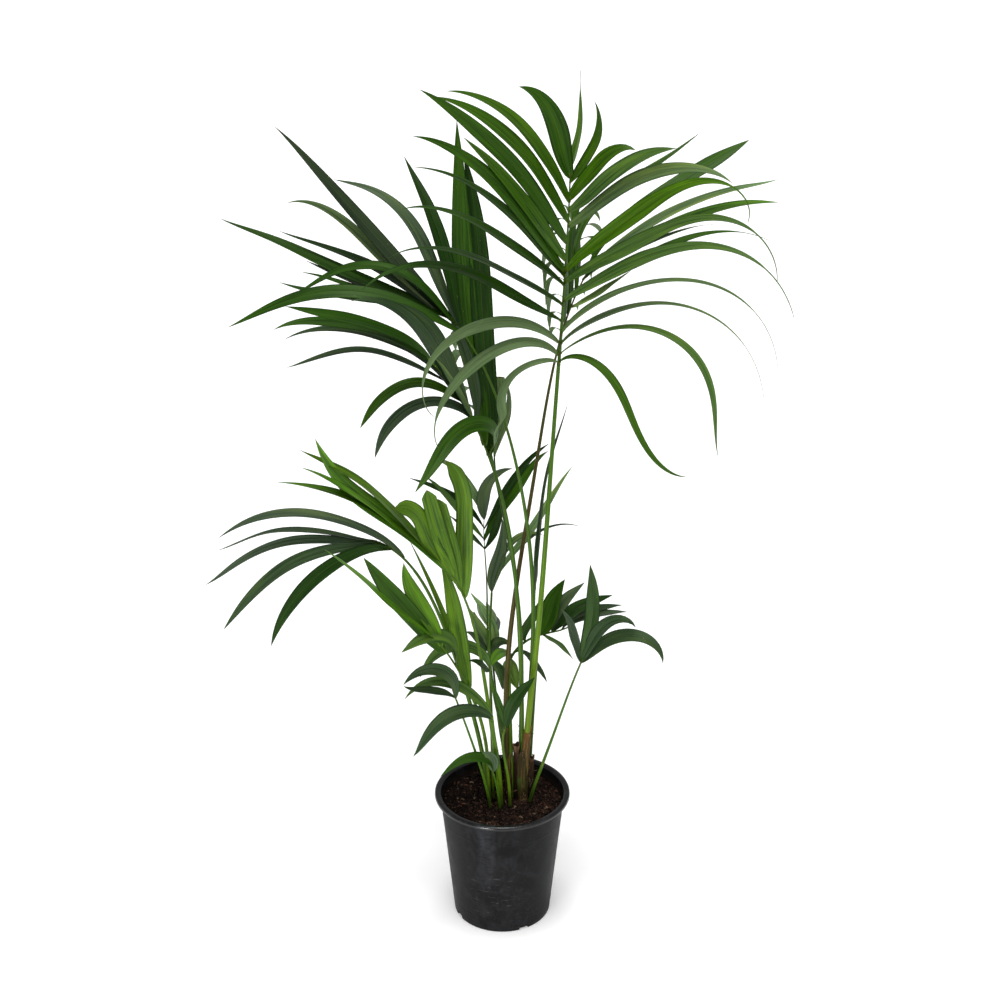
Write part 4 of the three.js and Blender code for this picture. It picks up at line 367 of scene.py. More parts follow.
def growth(foot, length, tilt, nod, steps):
    u = (np.arange(steps) + 0.5) / steps
    t, n = np.radians(poly(tilt, u)), np.radians(poly(nod, u) + 0 * u)
    d = np.stack([np.sin(t) * np.cos(n), np.sin(n), np.cos(t) * np.cos(n)], 1)
    foot = np.asarray(foot, float)
    return np.vstack([foot, foot + np.cumsum(d, 0) * length / steps])


def smooth(line, us):
    """Points of a smooth curve through the line's points, at the shares us of its length."""
    ext = np.vstack([2 * line[0] - line[1], line, 2 * line[-1] - line[-2]])
    x = np.clip(np.asarray(us, float), 0, 1) * (len(line) - 1)
    i = np.minimum(x.astype(int), len(line) - 2)
    f = (x - i)[:, None]
    p0, p1, p2, p3 = ext[i], ext[i + 1], ext[i + 2], ext[i + 3]
    return 0.5 * (2 * p1 + (p2 - p0) * f + (2 * p0 - 5 * p1 + 4 * p2 - p3) * f ** 2 + (3 * p1 - p0 - 3 * p2 + p3) * f ** 3)


def unit(v):
    return v / np.maximum(np.linalg.norm(v, axis=-1, keepdims=True), 1e-12)


def carried(T, first):
    """Directions across a line with tangents T, carried along it without twisting."""
    out, a = [], np.asarray(first, float)
    for t in T:
        a = unit(a - (a @ t) * t)
        out.append(a)
    return np.array(out)


def step(lo, hi, x):
    t = np.clip((x - lo) / (hi - lo), 0, 1)
    return t * t * (3 - 2 * t)


def grain(p, seed=0):
    """Smooth value noise from -1 to 1 at the points p (n, 3)."""
    p = np.asarray(p, float)
    i = np.floor(p).astype(np.int64)
    f = p - i
    f = f * f * (3 - 2 * f)
    total = np.zeros(len(p))
    for dx in (0, 1):
        for dy in (0, 1):
            for dz in (0, 1):
                h = (i[:, 0] + dx) * 374761393 + (i[:, 1] + dy) * 668265263 + (i[:, 2] + dz) * 2147483647 + seed * 1274126177
                h = (h ^ (h >> 13)) * 1274126177
                h = (h ^ (h >> 16)) & 0xFFFF
                w = np.abs(1 - dx - f[:, 0]) * np.abs(1 - dy - f[:, 1]) * np.abs(1 - dz - f[:, 2])
                total += w * (h / 32767.5 - 1)
    return total


# ------------------------------------------------------------------ meshes
class Build:
    """Gathers faces with three maps: Blade in metres along and across, Place from 0 to 1 along and -1 to 1
    across, and OFBake, where each side of each strip has a row of its own."""

    def __init__(self):
        self.verts, self.faces, self.mats, self.count = [], [], [], 0
        self.uv = {"Blade": [], "Place": [], "OFBake": []}
        self.rows = 0

    def add(self, verts, faces, mats, corners):
        self.verts.append(np.asarray(verts, float))
        self.faces += [tuple(int(i) + self.count for i in f) for f in faces]
        self.mats += list(mats)
        self.count += len(verts)
        for k in self.uv:
            self.uv[k].append(np.asarray(corners[k], float).reshape(-1, 2))

    def strip(self, rings, mats, first, second, tip=None, tips=None):
        """A closed tube of rings (n, m, 3), with maps first and second (name: (n, m, 2)) at each face's near and
        far side, closed at its foot and drawn to a tip or closed by a cap."""
        n, m = rings.shape[:2]
        i, k = np.meshgrid(np.arange(n - 1), np.arange(m), indexing="ij")
        i, k = i.ravel(), k.ravel()
        k1 = (k + 1) % m
        quads = np.stack([i * m + k, i * m + k1, (i + 1) * m + k1, (i + 1) * m + k], 1)
        corners = {}
        for name in self.uv:
            a, b = first[name], second[name]
            corners[name] = [np.stack([a[i, k], b[i, k], b[i + 1, k], a[i + 1, k]], 1).reshape(-1, 2)]
        faces, face_mats = quads.tolist(), [mats[q] for q in k]
        verts = rings.reshape(-1, 3)
        if tip is not None:
            verts = np.vstack([verts, tip])
            for q in range(m):
                faces.append((((n - 1) * m) + q, (n - 1) * m + (q + 1) % m, n * m))
                face_mats.append(mats[q])
                for name in self.uv:
                    corners[name].append(np.stack([first[name][n - 1, q], second[name][n - 1, q], tips[name][q]]))
        else:
            faces.append(tuple(range((n - 1) * m, n * m)))
            face_mats.append(mats[0])
            for name in self.uv:
                corners[name].append(first[name][n - 1])
        faces.append(tuple(range(m - 1, -1, -1)))
        face_mats.append(mats[0])
        for name in self.uv:
            corners[name].append(first[name][0][::-1])
        self.add(verts, faces, face_mats, {k: np.vstack(v) for k, v in corners.items()})

    def make(self, name, materials, smooth_faces=True, sharp=None):
        mesh = bpy.data.meshes.new(name)
        verts = np.vstack(self.verts)
        mesh.from_pydata(verts.tolist(), [], self.faces)
        for m in materials:
            mesh.materials.append(m)
        mesh.polygons.foreach_set("material_index", np.array(self.mats, np.int32))
        mesh.polygons.foreach_set("use_smooth", np.full(len(self.faces), smooth_faces))
        for k in ("Blade", "Place", "OFBake"):
            if self.uv[k]:
                uv = np.vstack(self.uv[k])
                if k == "OFBake":
                    uv = np.stack([uv[:, 0], uv[:, 1] / max(self.rows, 1)], 1)
                layer = mesh.uv_layers.new(name=k, do_init=False)
                layer.uv.foreach_set("vector", uv.astype(np.float32).ravel())
        mesh.validate(clean_customdata=False)
        mesh.update()
        if sharp is not None:
            mesh.set_sharp_from_angle(angle=math.radians(sharp))
        ob = bpy.data.objects.new(name, mesh)
        bpy.context.scene.collection.objects.link(ob)
        return ob


def outline(u, widest, form):
    """Half width of a leaflet along its length, as a share of its widest."""
    foot, power = {"": (0.13, 0.75), "full": (0.22, 0.62), "strap": (0.12, 0.62), "hair": (0.22, 0.70)}.get(form, (0.15, 1.25))
    rise = foot + (1 - foot) * np.sin(np.clip(u / widest, 0, 1) * np.pi / 2) ** power
    b = np.clip((u - widest) / (1 - widest), 0, 1)
    fall = {"hair": 0.84 * np.clip(1 - b / 0.70, 0, 1) ** 0.85 + 0.16 * (1 - b) ** 0.35,
            "strap": (1 - 0.16 * b) * np.clip((1 - b) / 0.16, 0.04, 1) ** 0.75,
            "full": 0.98 * (1 - b ** 2.1) + 0.02 * (1 - b)}.get(form, 0.97 * (1 - b ** 1.8) + 0.03 * (1 - b))
    w = np.where(u < widest, rise, fall)
    if form == "blunt":
        w = np.minimum(1, 0.12 + 0.9 * u / widest) * np.where(u > 0.97, 0.75, 1)
    return w


ACROSS = np.array([-1, -.88, -.7, -.53, -.36, -.19, -.06, 0, .06, .19, .36, .53, .7, .88, 1])
PLEAT = np.array([0, -.1, 1, -.7, 1, -.9, .3, -.5, .3, -.9, 1, -.7, 1, -.1, 0])
CAMERA = np.array(CAMERA_AT)


def leaflet(b, foot, row, frond, seed, tone_index):
    name, place, L, W, widest, tilt, nod, roll, tone, hair, under, form = row
    L, W = L / 1000, W / 1000
    rng = np.random.default_rng(seed)
    form = form or ("hair" if hair else "")
    line = growth(foot, L, tilt, nod, 24)
    n = int(np.clip(L / 0.0072, 20, 60))
    us = np.linspace(0, 0.998 if form == "blunt" else 0.992, n)
    P = smooth(line, us)
    T = unit(smooth(line, np.minimum(us + 0.004, 1)) - smooth(line, np.maximum(us - 0.004, 0)))
    t0 = T[0]
    a0 = np.array([t0[1], -t0[0], 0.0])
    if np.linalg.norm(a0) < 0.02:
        a0 = np.array([1.0, 0, 0])
    A = carried(T, unit(a0))
    up = np.cross(A, T)
    r = np.radians(poly(roll, us) + 0 * us)[:, None]
    N = up * np.cos(r) + A * np.sin(r)
    if frond[0] != "E":
        seen = np.sum(N * unit(CAMERA - P), 1)
        if (seen.mean() < 0) != bool(under):
            N = -N
    S = np.cross(T, N)
    w = W / 2 * outline(us, widest, form)
    v = ACROSS[None, :]
    fold = np.radians(7 + 26 * np.exp(-us / 0.05))[:, None]
    near = w[:, None]
    ph = rng.uniform(0, 6.28, 3)
    z = np.abs(v) * near * np.tan(fold)
    z = z + PLEAT[None, :] * near * 0.026 * step(0.02, 0.2, us)[:, None]
    z = z + 0.06 * near * np.sin(us[:, None] * 9 + ph[0]) * v ** 2 * np.sign(v) + 0.05 * near * np.sin(us[:, None] * 14 + ph[1]) * v ** 2
    thick = LEAF_THICK * np.minimum(1, 0.25 + near / 0.006) * (1 - np.abs(v) ** 4)
    rib = 0.0011 * (1.1 - us)[:, None] * np.minimum(1, near / 0.006) * np.exp(-(v / 0.05) ** 2)
    top = P[:, None] + S[:, None] * (v * near)[..., None] + N[:, None] * (z + thick / 2)[..., None]
    low = P[:, None] + S[:, None] * (v * near)[..., None] + N[:, None] * (z - thick / 2 - rib)[..., None]
    rings = np.concatenate([top, low[:, -2:0:-1]], 1)
    vs = np.concatenate([ACROSS, ACROSS[-2:0:-1]])
    m = len(vs)
    nt = len(ACROSS) - 1
    v0, v1 = vs, np.roll(vs, -1)
    ofs = rng.uniform(0, 40)
    thin = widest + (1 - widest) * 0.7      # where a hair tip starts, which is dry and brown
    grown = np.where(us < thin, us * 0.965 / thin, 0.965 + 0.035 * (us - thin) / (1 - thin)) if form == "hair" else us
    maps0, maps1, tips = {}, {}, {}
    row_of = np.where(np.arange(m) < nt, b.rows, b.rows + 1)
    for k, vv in ((0, v0), (1, v1)):
        d = maps0 if k == 0 else maps1
        U = np.repeat(us[:, None], m, 1)
        d["Blade"] = np.stack([U * L + ofs, np.repeat((vv * W / 2)[None], n, 0)], 2)
        d["Place"] = np.stack([np.repeat(grown[:, None], m, 1), np.repeat(vv[None], n, 0)], 2)
        d["OFBake"] = np.stack([0.01 + 0.98 * U, np.repeat((row_of + 0.5 + 0.42 * vv)[None], n, 0)], 2)
    mid = (v0 + v1) / 2
    tips["Blade"] = np.stack([np.full(m, L + ofs), mid * W / 2], 1)
    tips["Place"] = np.stack([np.ones(m), mid], 1)
    tips["OFBake"] = np.stack([np.full(m, 0.995), row_of + 0.5 + 0.42 * mid], 1)
    mats = [tone_index * 2 if q < nt else tone_index * 2 + 1 for q in range(m)]
    b.rows += 2
    b.strip(rings, mats, maps0, maps1, tip=line[-1], tips=tips)


def tube(b, line, u0, u1, radius, sides, spacing, mat, ridges=0.05, level=False, flare=0.0):
    """A stem along a growth line between u0 and u1: round, with three shallow ridges along it."""
    length = np.sum(np.linalg.norm(np.diff(line, axis=0), axis=1))
    n = max(6, int(length * (u1 - u0) / spacing))
    us = np.linspace(u0, u1, n)
    P = smooth(line, us)
    T = unit(smooth(line, np.minimum(us + 0.01, 1)) - smooth(line, np.maximum(us - 0.01, 0)))
    A = carried(T, (0, 1, 0))
    B = np.cross(T, A)
    ang = 2 * np.pi * np.arange(sides) / sides
    r = radius(us)[:, None] * (1 + ridges * np.cos(3 * ang + 0.6)[None] * 0.5)
    r = r * (1 + flare * np.exp(-(us - u0) * length / 0.012))[:, None]
    rings = P[:, None] + A[:, None] * (r * np.cos(ang)[None])[..., None] + B[:, None] * (r * np.sin(ang)[None])[..., None]
    if level:
        lift = (P[0, 2] - rings[0, :, 2]) / T[0, 2]
        rings[0] = rings[0] + lift[:, None] * T[0]
    a0, a1 = np.arange(sides) / sides, (np.arange(sides) + 1) / sides
    first, second = {}, {}
    U = np.repeat(us[:, None], sides, 1)
    girth = 2 * np.pi * float(radius(np.array([u0]))[0])
    for d, aa in ((first, a0), (second, a1)):
        d["Blade"] = np.stack([U * length, np.repeat((aa * girth)[None], n, 0)], 2)
        d["Place"] = np.stack([U, np.repeat((aa * 2 - 1)[None], n, 0)], 2)
        d["OFBake"] = np.stack([0.01 + 0.98 * (U - u0) / (u1 - u0), np.repeat((b.rows + 0.04 + 0.92 * aa)[None], n, 0)], 2)
    b.rows += 1
    b.strip(rings, [mat] * sides, first, second)


# ------------------------------------------------------------------ node materials
class Nodes:
    def __init__(self, name):
        self.m = bpy.data.materials.new(name)
        self.m.use_nodes = True
        self.t = self.m.node_tree
        self.t.nodes.clear()
        self.out = self.t.nodes.new("ShaderNodeOutputMaterial")
        self.b = self.t.nodes.new("ShaderNodeBsdfPrincipled")
        self.t.links.new(self.b.outputs[0], self.out.inputs[0])

    def link(self, a, b):
        if isinstance(a, (int, float)):
            b.default_value = a
        elif isinstance(a, (tuple, list)):
            b.default_value = tuple(a) + ((1.0,) if len(a) == 3 and len(b.default_value) == 4 else ())
        else:
            self.t.links.new(a, b)

    def uv(self, name):
        n = self.t.nodes.new("ShaderNodeUVMap")
        n.uv_map = name
        s = self.t.nodes.new("ShaderNodeSeparateXYZ")
        self.link(n.outputs[0], s.inputs[0])
        return s.outputs[0], s.outputs[1]

    def place(self):
        n = self.t.nodes.new("ShaderNodeTexCoord")
        return n.outputs["Object"]

    def split(self, v):
        s = self.t.nodes.new("ShaderNodeSeparateXYZ")
        self.link(v, s.inputs[0])
        return s.outputs

    def vec(self, x, y, z=0.0):
        n = self.t.nodes.new("ShaderNodeCombineXYZ")
        for v, i in zip((x, y, z), n.inputs):
            self.link(v, i)
        return n.outputs[0]

    def math(self, op, a, b=0.0, clamp=False):
        n = self.t.nodes.new("ShaderNodeMath")
        n.operation, n.use_clamp = op, clamp
        self.link(a, n.inputs[0])
        if op not in ("ABSOLUTE", "SINE", "FRACT", "FLOOR", "SQRT"):
            self.link(b, n.inputs[1])
        return n.outputs[0]

    def ramp(self, x, lo, hi, a=0.0, b=1.0):
        n = self.t.nodes.new("ShaderNodeMapRange")
        n.interpolation_type = "SMOOTHSTEP"
        for v, i in zip((x, lo, hi, a, b), n.inputs):
            self.link(v, i)
        return n.outputs[0]

    def noise(self, v, scale, detail=3.0, rough=0.55, warp=0.0):
        n = self.t.nodes.new("ShaderNodeTexNoise")
        self.link(v, n.inputs["Vector"])
        n.inputs["Scale"].default_value = scale
        n.inputs["Detail"].default_value = detail
        n.inputs["Roughness"].default_value = rough
        n.inputs["Distortion"].default_value = warp
        return n.outputs["Fac"]

    def cells(self, v, scale, feature="F1"):
        n = self.t.nodes.new("ShaderNodeTexVoronoi")
        n.feature = feature
        self.link(v, n.inputs["Vector"])
        n.inputs["Scale"].default_value = scale
        return n.outputs["Distance"]

    def mix(self, f, a, b, kind="MIX"):
        n = self.t.nodes.new("ShaderNodeMix")
        n.data_type, n.blend_type = "RGBA", kind
        self.link(f, n.inputs[0])
        self.link(a, n.inputs[6])
        self.link(b, n.inputs[7])
        return n.outputs[2]

    def bands(self, x, stops):
        n = self.t.nodes.new("ShaderNodeValToRGB")
        self.link(x, n.inputs[0])
        e = n.color_ramp.elements
        while len(e) > 1:
            e.remove(e[-1])
        e[0].position, e[0].color = stops[0][0], tuple(stops[0][1]) + (1,)
        for p, c in stops[1:]:
            q = e.new(p)
            q.color = tuple(c) + (1,)
        return n.outputs[0]

    def finish(self, colour, rough, height=None, depth=0.0002, strength=0.5, specular=0.5, sheen=0.0, coat=0.0):
        self.link(colour, self.b.inputs["Base Color"])
        self.link(rough, self.b.inputs["Roughness"])
        self.b.inputs["Specular IOR Level"].default_value = specular
        if sheen:
            self.b.inputs["Sheen Weight"].default_value = sheen
        if coat:
            self.b.inputs["Coat Weight"].default_value = coat
            self.b.inputs["Coat Roughness"].default_value = 0.25
        if height is not None:
            n = self.t.nodes.new("ShaderNodeBump")
            n.inputs["Strength"].default_value = strength
            n.inputs["Distance"].default_value = depth
            self.link(height, n.inputs["Height"])
            self.link(n.outputs[0], self.b.inputs["Normal"])
        return self.m


def mixed(a, b, k):
    return [x * (1 - k) + y * k for x, y in zip(a, b)]


def leaf_material(name, rgb, below):
    s = Nodes(name)
    base = lin(rgb)
    x, y = s.uv("Blade")
    u, v = s.uv("Place")
    side = s.math("ABSOLUTE", v)
    broad = s.noise(s.vec(s.math("MULTIPLY", x, 6.0), s.math("MULTIPLY", y, 210.0), 3.1), 1.0, 2.0, 0.5)
    fine = s.noise(s.vec(s.math("MULTIPLY", x, 14.0), s.math("MULTIPLY", y, 900.0), 7.7), 1.0, 2.0, 0.6)
    patch = s.noise(s.vec(s.math("MULTIPLY", x, 9.0), s.math("MULTIPLY", y, 60.0), 1.3), 1.0, 2.0, 0.5)
    if below:
        dark, light = mixed(base, lin((36, 56, 30)), 0.25), mixed([c * 1.3 for c in base], lin((140, 156, 112)), 0.25)
        mid = mixed(base, lin((100, 118, 78)), 0.25)
    else:
        dark, light = [base[0] * 0.30, base[1] * 0.44, base[2] * 0.40], [base[0] * 1.85, base[1] * 1.66, base[2] * 0.9]
        mid = base
    c = s.mix(s.ramp(broad, 0.32, 0.60), dark, mid)
    c = s.mix(s.math("MULTIPLY", s.ramp(patch, 0.48, 0.72), 0.65), c, light)
    c = s.mix(s.ramp(fine, 0.45, 0.75, 0.0, 0.50), c, light)
    c = s.mix(s.ramp(fine, 0.5, 0.25, 0.0, 0.55), c, dark)
    # parallel veins in each half, painted shade darkening the margin and a slightly paler midrib
    for at in (0.36, 0.70):
        line = s.ramp(s.math("ABSOLUTE", s.math("SUBTRACT", side, at)), 0.05, 0.0, 0.0, 0.22)
        c = s.mix(line, c, light)
    # painted shade: the colour darkens towards both margins
    c = s.mix(s.ramp(side, 0.78, 1.0, 0.0, 0.60), c, dark)
    c = s.mix(s.ramp(side, 0.16, 0.05, 0.0, 0.35), c, dark)
    rib = mixed([base[0] * 1.8, base[1] * 1.5, base[2] * 1.2], lin((120, 136, 66)), 0.2)
    c = s.mix(s.ramp(side, 0.05, 0.015, 0.0, 0.45), c, rib)
    # the foot is yellower, the very tip dries to brown
    c = s.mix(s.ramp(u, 0.05, 0.0, 0.0, 0.40), c, mixed(lin((96, 124, 44)), base, 0.3))
    c = s.mix(s.ramp(s.math("ADD", u, s.math("MULTIPLY", patch, 0.03)), 0.990, 1.012), c, lin((74, 68, 38)))
    spots = s.cells(s.vec(s.math("MULTIPLY", x, 110.0), s.math("MULTIPLY", y, 240.0), 5.0), 1.0)
    gate = s.ramp(s.noise(s.vec(s.math("MULTIPLY", x, 31.0), s.math("MULTIPLY", y, 60.0), 9.0), 1.0, 1.0), 0.62, 0.70)
    c = s.mix(s.math("MULTIPLY", s.ramp(spots, 0.16, 0.06), gate), c, lin((120, 136, 66)))
    rough = s.ramp(fine, 0.2, 0.8, 0.58 if below else 0.40, 0.68 if below else 0.54)
    height = s.math("ADD", s.math("MULTIPLY", fine, 0.5), s.math("MULTIPLY", broad, 0.6))
    s.b.inputs["Specular Tint"].default_value = (0.72, 1.0, 0.50, 1.0)
    return s.finish(c, rough, height, depth=0.0004, strength=0.55, specular=0.22 if not below else 0.18)


def bark_material(name, bands):
    s = Nodes(name)
    x, y = s.uv("Blade")
    u, v = s.uv("Place")
    stops = [(0.0, lin((58, 54, 30)))] + [(p, lin(c)) for p, c in zip((0.035, 0.25, 0.5, 1.0), bands)]
    c = s.bands(s.math("ADD", u, 0.0), stops)
    run = s.noise(s.vec(s.math("MULTIPLY", x, 12.0), s.math("MULTIPLY", y, 900.0), 2.0), 1.0, 3.0, 0.6)
    patch = s.noise(s.vec(s.math("MULTIPLY", x, 40.0), s.math("MULTIPLY", y, 120.0), 4.0), 1.0, 3.0)
    c = s.mix(s.ramp(run, 0.35, 0.7, 0.55, 0.0), c, s.mix(1.0, c, (0.50, 0.52, 0.42), "MULTIPLY"))
    c = s.mix(s.ramp(run, 0.55, 0.8, 0.0, 0.5), c, s.mix(1.0, c, (1.7, 1.5, 1.3), "MULTIPLY"))
    scurf = s.ramp(patch, 0.60, 0.74, 0.0, 0.30)
    c = s.mix(scurf, c, lin((112, 96, 62)))
    rough = s.ramp(patch, 0.3, 0.7, 0.34, 0.52)
    s.b.inputs["Specular Tint"].default_value = (0.8, 1.0, 0.5, 1.0)
    return s.finish(c, rough, s.math("ADD", run, s.math("MULTIPLY", patch, 0.5)), depth=0.0004, strength=0.45, specular=0.22)


# ------------------------------------------------------------------ camera and light
scene = bpy.context.scene
scene.view_settings.view_transform = "Standard"
scene.view_settings.look = "None"
cam = bpy.data.cameras.new("camera")
cam.lens, cam.sensor_width, cam.clip_end = CAMERA_LENS, 36.0, 100.0
cam_ob = bpy.data.objects.new("camera", cam)
cam_ob.location = CAMERA_AT
cam_ob.rotation_euler = (math.radians(90 - CAMERA_DOWN), 0, 0)
scene.collection.objects.link(cam_ob)
scene.camera = cam_ob

world = bpy.data.worlds.new("studio")
scene.world = world
world.use_nodes = True
world.node_tree.nodes["Background"].inputs[0].default_value = (1.0, 1.0, 1.0, 1.0)
world.node_tree.nodes["Background"].inputs[1].default_value = 0.40


def lamp(name, kind, energy, at, aim, size):
    d = bpy.data.lights.new(name, kind)
    d.energy = energy
    if kind == "SUN":
        d.angle = math.radians(size)
    else:
        d.shape, d.size = "DISK", size
    o = bpy.data.objects.new(name, d)
    o.location = at
    v = np.array(aim, float) - np.array(at, float)
    yaw, pitch = math.atan2(v[0], v[1]), math.atan2(v[2], math.hypot(v[0], v[1]))
    o.rotation_euler = (math.pi / 2 + pitch, 0, -yaw)
    scene.collection.objects.link(o)
    return o


lamp("key", "SUN", 1.3, (-0.05, -2.2, 4.2), (0, 0, 0.5), 46)
lamp("top", "SUN", 1.7, (-0.15, -0.1, 5.0), (0, 0, 0), 18)
lamp("fill", "SUN", 0.35, (2.6, -2.6, 2.2), (0, 0, 0.6), 60)
lamp("softbox", "AREA", 7.0, (-0.50, -1.05, 0.12), (0, 0, 0.14), 0.28)

# ------------------------------------------------------------------ leaf and stem materials
tone_names = list(TONES)
leaf_mats = []
for t in tone_names:
    leaf_mats.append(leaf_material("leaf_" + t, TONES[t], False))
    leaf_mats.append(leaf_material("leaf_" + t + "_under", TONES[t], True))
bark_mats = {k: bark_material("bark_" + k, v) for k, v in BARKS.items()}
bark_names = list(BARKS)


def taper(radii):
    r0, r1, r2 = (r / 1000 for r in radii)
    return lambda u: np.where(u < 0.5, r0 + (r1 - r0) * u * 2, r1 + (r2 - r1) * (u - 0.5) * 2)


LINES = {}
for row in FRONDS:
    LINES[row[0]] = growth(np.array(row[2]) / 1000, row[3] / 1000, row[4], row[5], 48)

by_name = {row[0]: row for row in FRONDS}
LINES["F1"][:, 0] -= 0.0022 * step(0.60, 0.38, LINES["F1"][:, 2])
for fi, row in enumerate(FRONDS):
    name, shoot, foot, L, tilt, nod, radii, blade, bark, leaves = row
    line = LINES[name]
    title, nodes = FROND_NODES[name]
    # leaflets, each kind of colour dealt out by leaflet
    b = Build()
    for li, leaf in enumerate(leaves):
        at = leaf[1]
        x = at * 48
        i = min(int(x), 47)
        start = line[i] + (line[i + 1] - line[i]) * (x - i)
        leaflet(b, start, leaf, name, 1000 * fi + li, tone_names.index(leaf[8]))
    ob = b.make("leaves_" + title, leaf_mats)
    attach(ob, "root")
    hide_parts(*nodes)
    # the rib that carries them
    b = Build()
    rad = taper(radii)
    tube(b, line, max(0.0, blade - 0.01), 1.0, lambda u, rad=rad: rad(u) * 0.88, 10, 0.006, 0)
    for leaf in leaves:
        # a small swelling where each leaflet joins
        u = min(leaf[1], 0.999)
        p = smooth(line, [u])[0]
        lf = growth(p, leaf[2] / 1000, leaf[5], leaf[6], 24)
        k = 0.007 / (leaf[2] / 1000)
        rr = float(rad(np.array([u]))[0])
        tube(b, lf, 0.0, k, lambda q, rr=rr, k=k: rr * (0.90 - 0.40 * q / k), 8, 0.002, 0)
    ob = b.make("rib_" + title, [bark_mats[BARK_OF[name]]])
    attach(ob, "root")
    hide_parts(*nodes)

for shoot, (piece_name, node, members) in SHOOTS.items():
    b = Build()
    used = []
    for name in members:
        row = by_name[name]
        bark = BARK_OF[name]
        if bark not in used:
            used.append(bark)
        rad = taper(row[6])
        ground = abs(row[2][2] - 225.1) < 1 and name not in SHEATHED
        u0 = np.interp(SHEATHED[name], LINES[name][:, 2], np.linspace(0, 1, 49)) if name in SHEATHED else 0.0
        tube(b, LINES[name], u0, row[7] + 0.005, rad, 16, 0.006, used.index(bark), ridges=0.10, level=ground,
             flare=0.16 if ground else 0.0)
    ob = b.make(piece_name, [bark_mats[k] for k in used])
    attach(ob, "root")
    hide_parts(node)


# ------------------------------------------------------------------ sheaths at the foot of the shoots
def sheath_material(name, stops, green):
    """Fibrous sheath: long fibres, brown at the torn edge, with green skin left in places."""
    s = Nodes(name)
    x, y = s.uv("Blade")
    u, v = s.uv("Place")
    fibre = s.noise(s.vec(s.math("MULTIPLY", x, 22.0), s.math("MULTIPLY", y, 1100.0), 2.0), 1.0, 4.0, 0.65)
    patch = s.noise(s.vec(s.math("MULTIPLY", x, 26.0), s.math("MULTIPLY", y, 75.0), 6.0), 1.0, 3.0, 0.55, 0.4)
    c = s.bands(s.math("ADD", u, s.math("MULTIPLY", s.math("SUBTRACT", patch, 0.5), 0.22)), [(p, lin(q)) for p, q in stops])
    c = s.mix(s.ramp(fibre, 0.3, 0.62, 0.85, 0.0), c, s.mix(1.0, c, (0.30, 0.26, 0.24), "MULTIPLY"))
    c = s.mix(s.ramp(fibre, 0.54, 0.74, 0.0, 0.9), c, s.mix(1.0, c, (2.6, 2.3, 1.9), "MULTIPLY"))
    c = s.mix(s.ramp(patch, 0.46, 0.34, 0.0, 0.65), c, lin((24, 18, 10)))
    if green:
        g = s.math("MULTIPLY", s.ramp(patch, 0.50, 0.60), s.math("MULTIPLY", s.ramp(u, 0.16, 0.26), s.ramp(u, 0.66, 0.48)))
        c = s.mix(s.math("MULTIPLY", g, 0.80), c, lin((50, 72, 24)))
    grey = s.ramp(s.noise(s.vec(s.math("MULTIPLY", x, 90.0), s.math("MULTIPLY", y, 240.0), 1.0), 1.0, 3.0), 0.60, 0.72, 0.0, 0.45)
    c = s.mix(grey, c, lin((150, 132, 108)))
    rough = s.ramp(patch, 0.3, 0.7, 0.62, 0.82)
    s.b.inputs["Specular Tint"].default_value = (1.0, 0.85, 0.6, 1.0)
    return s.finish(c, rough, fibre, depth=0.0008, strength=0.8, specular=0.12)


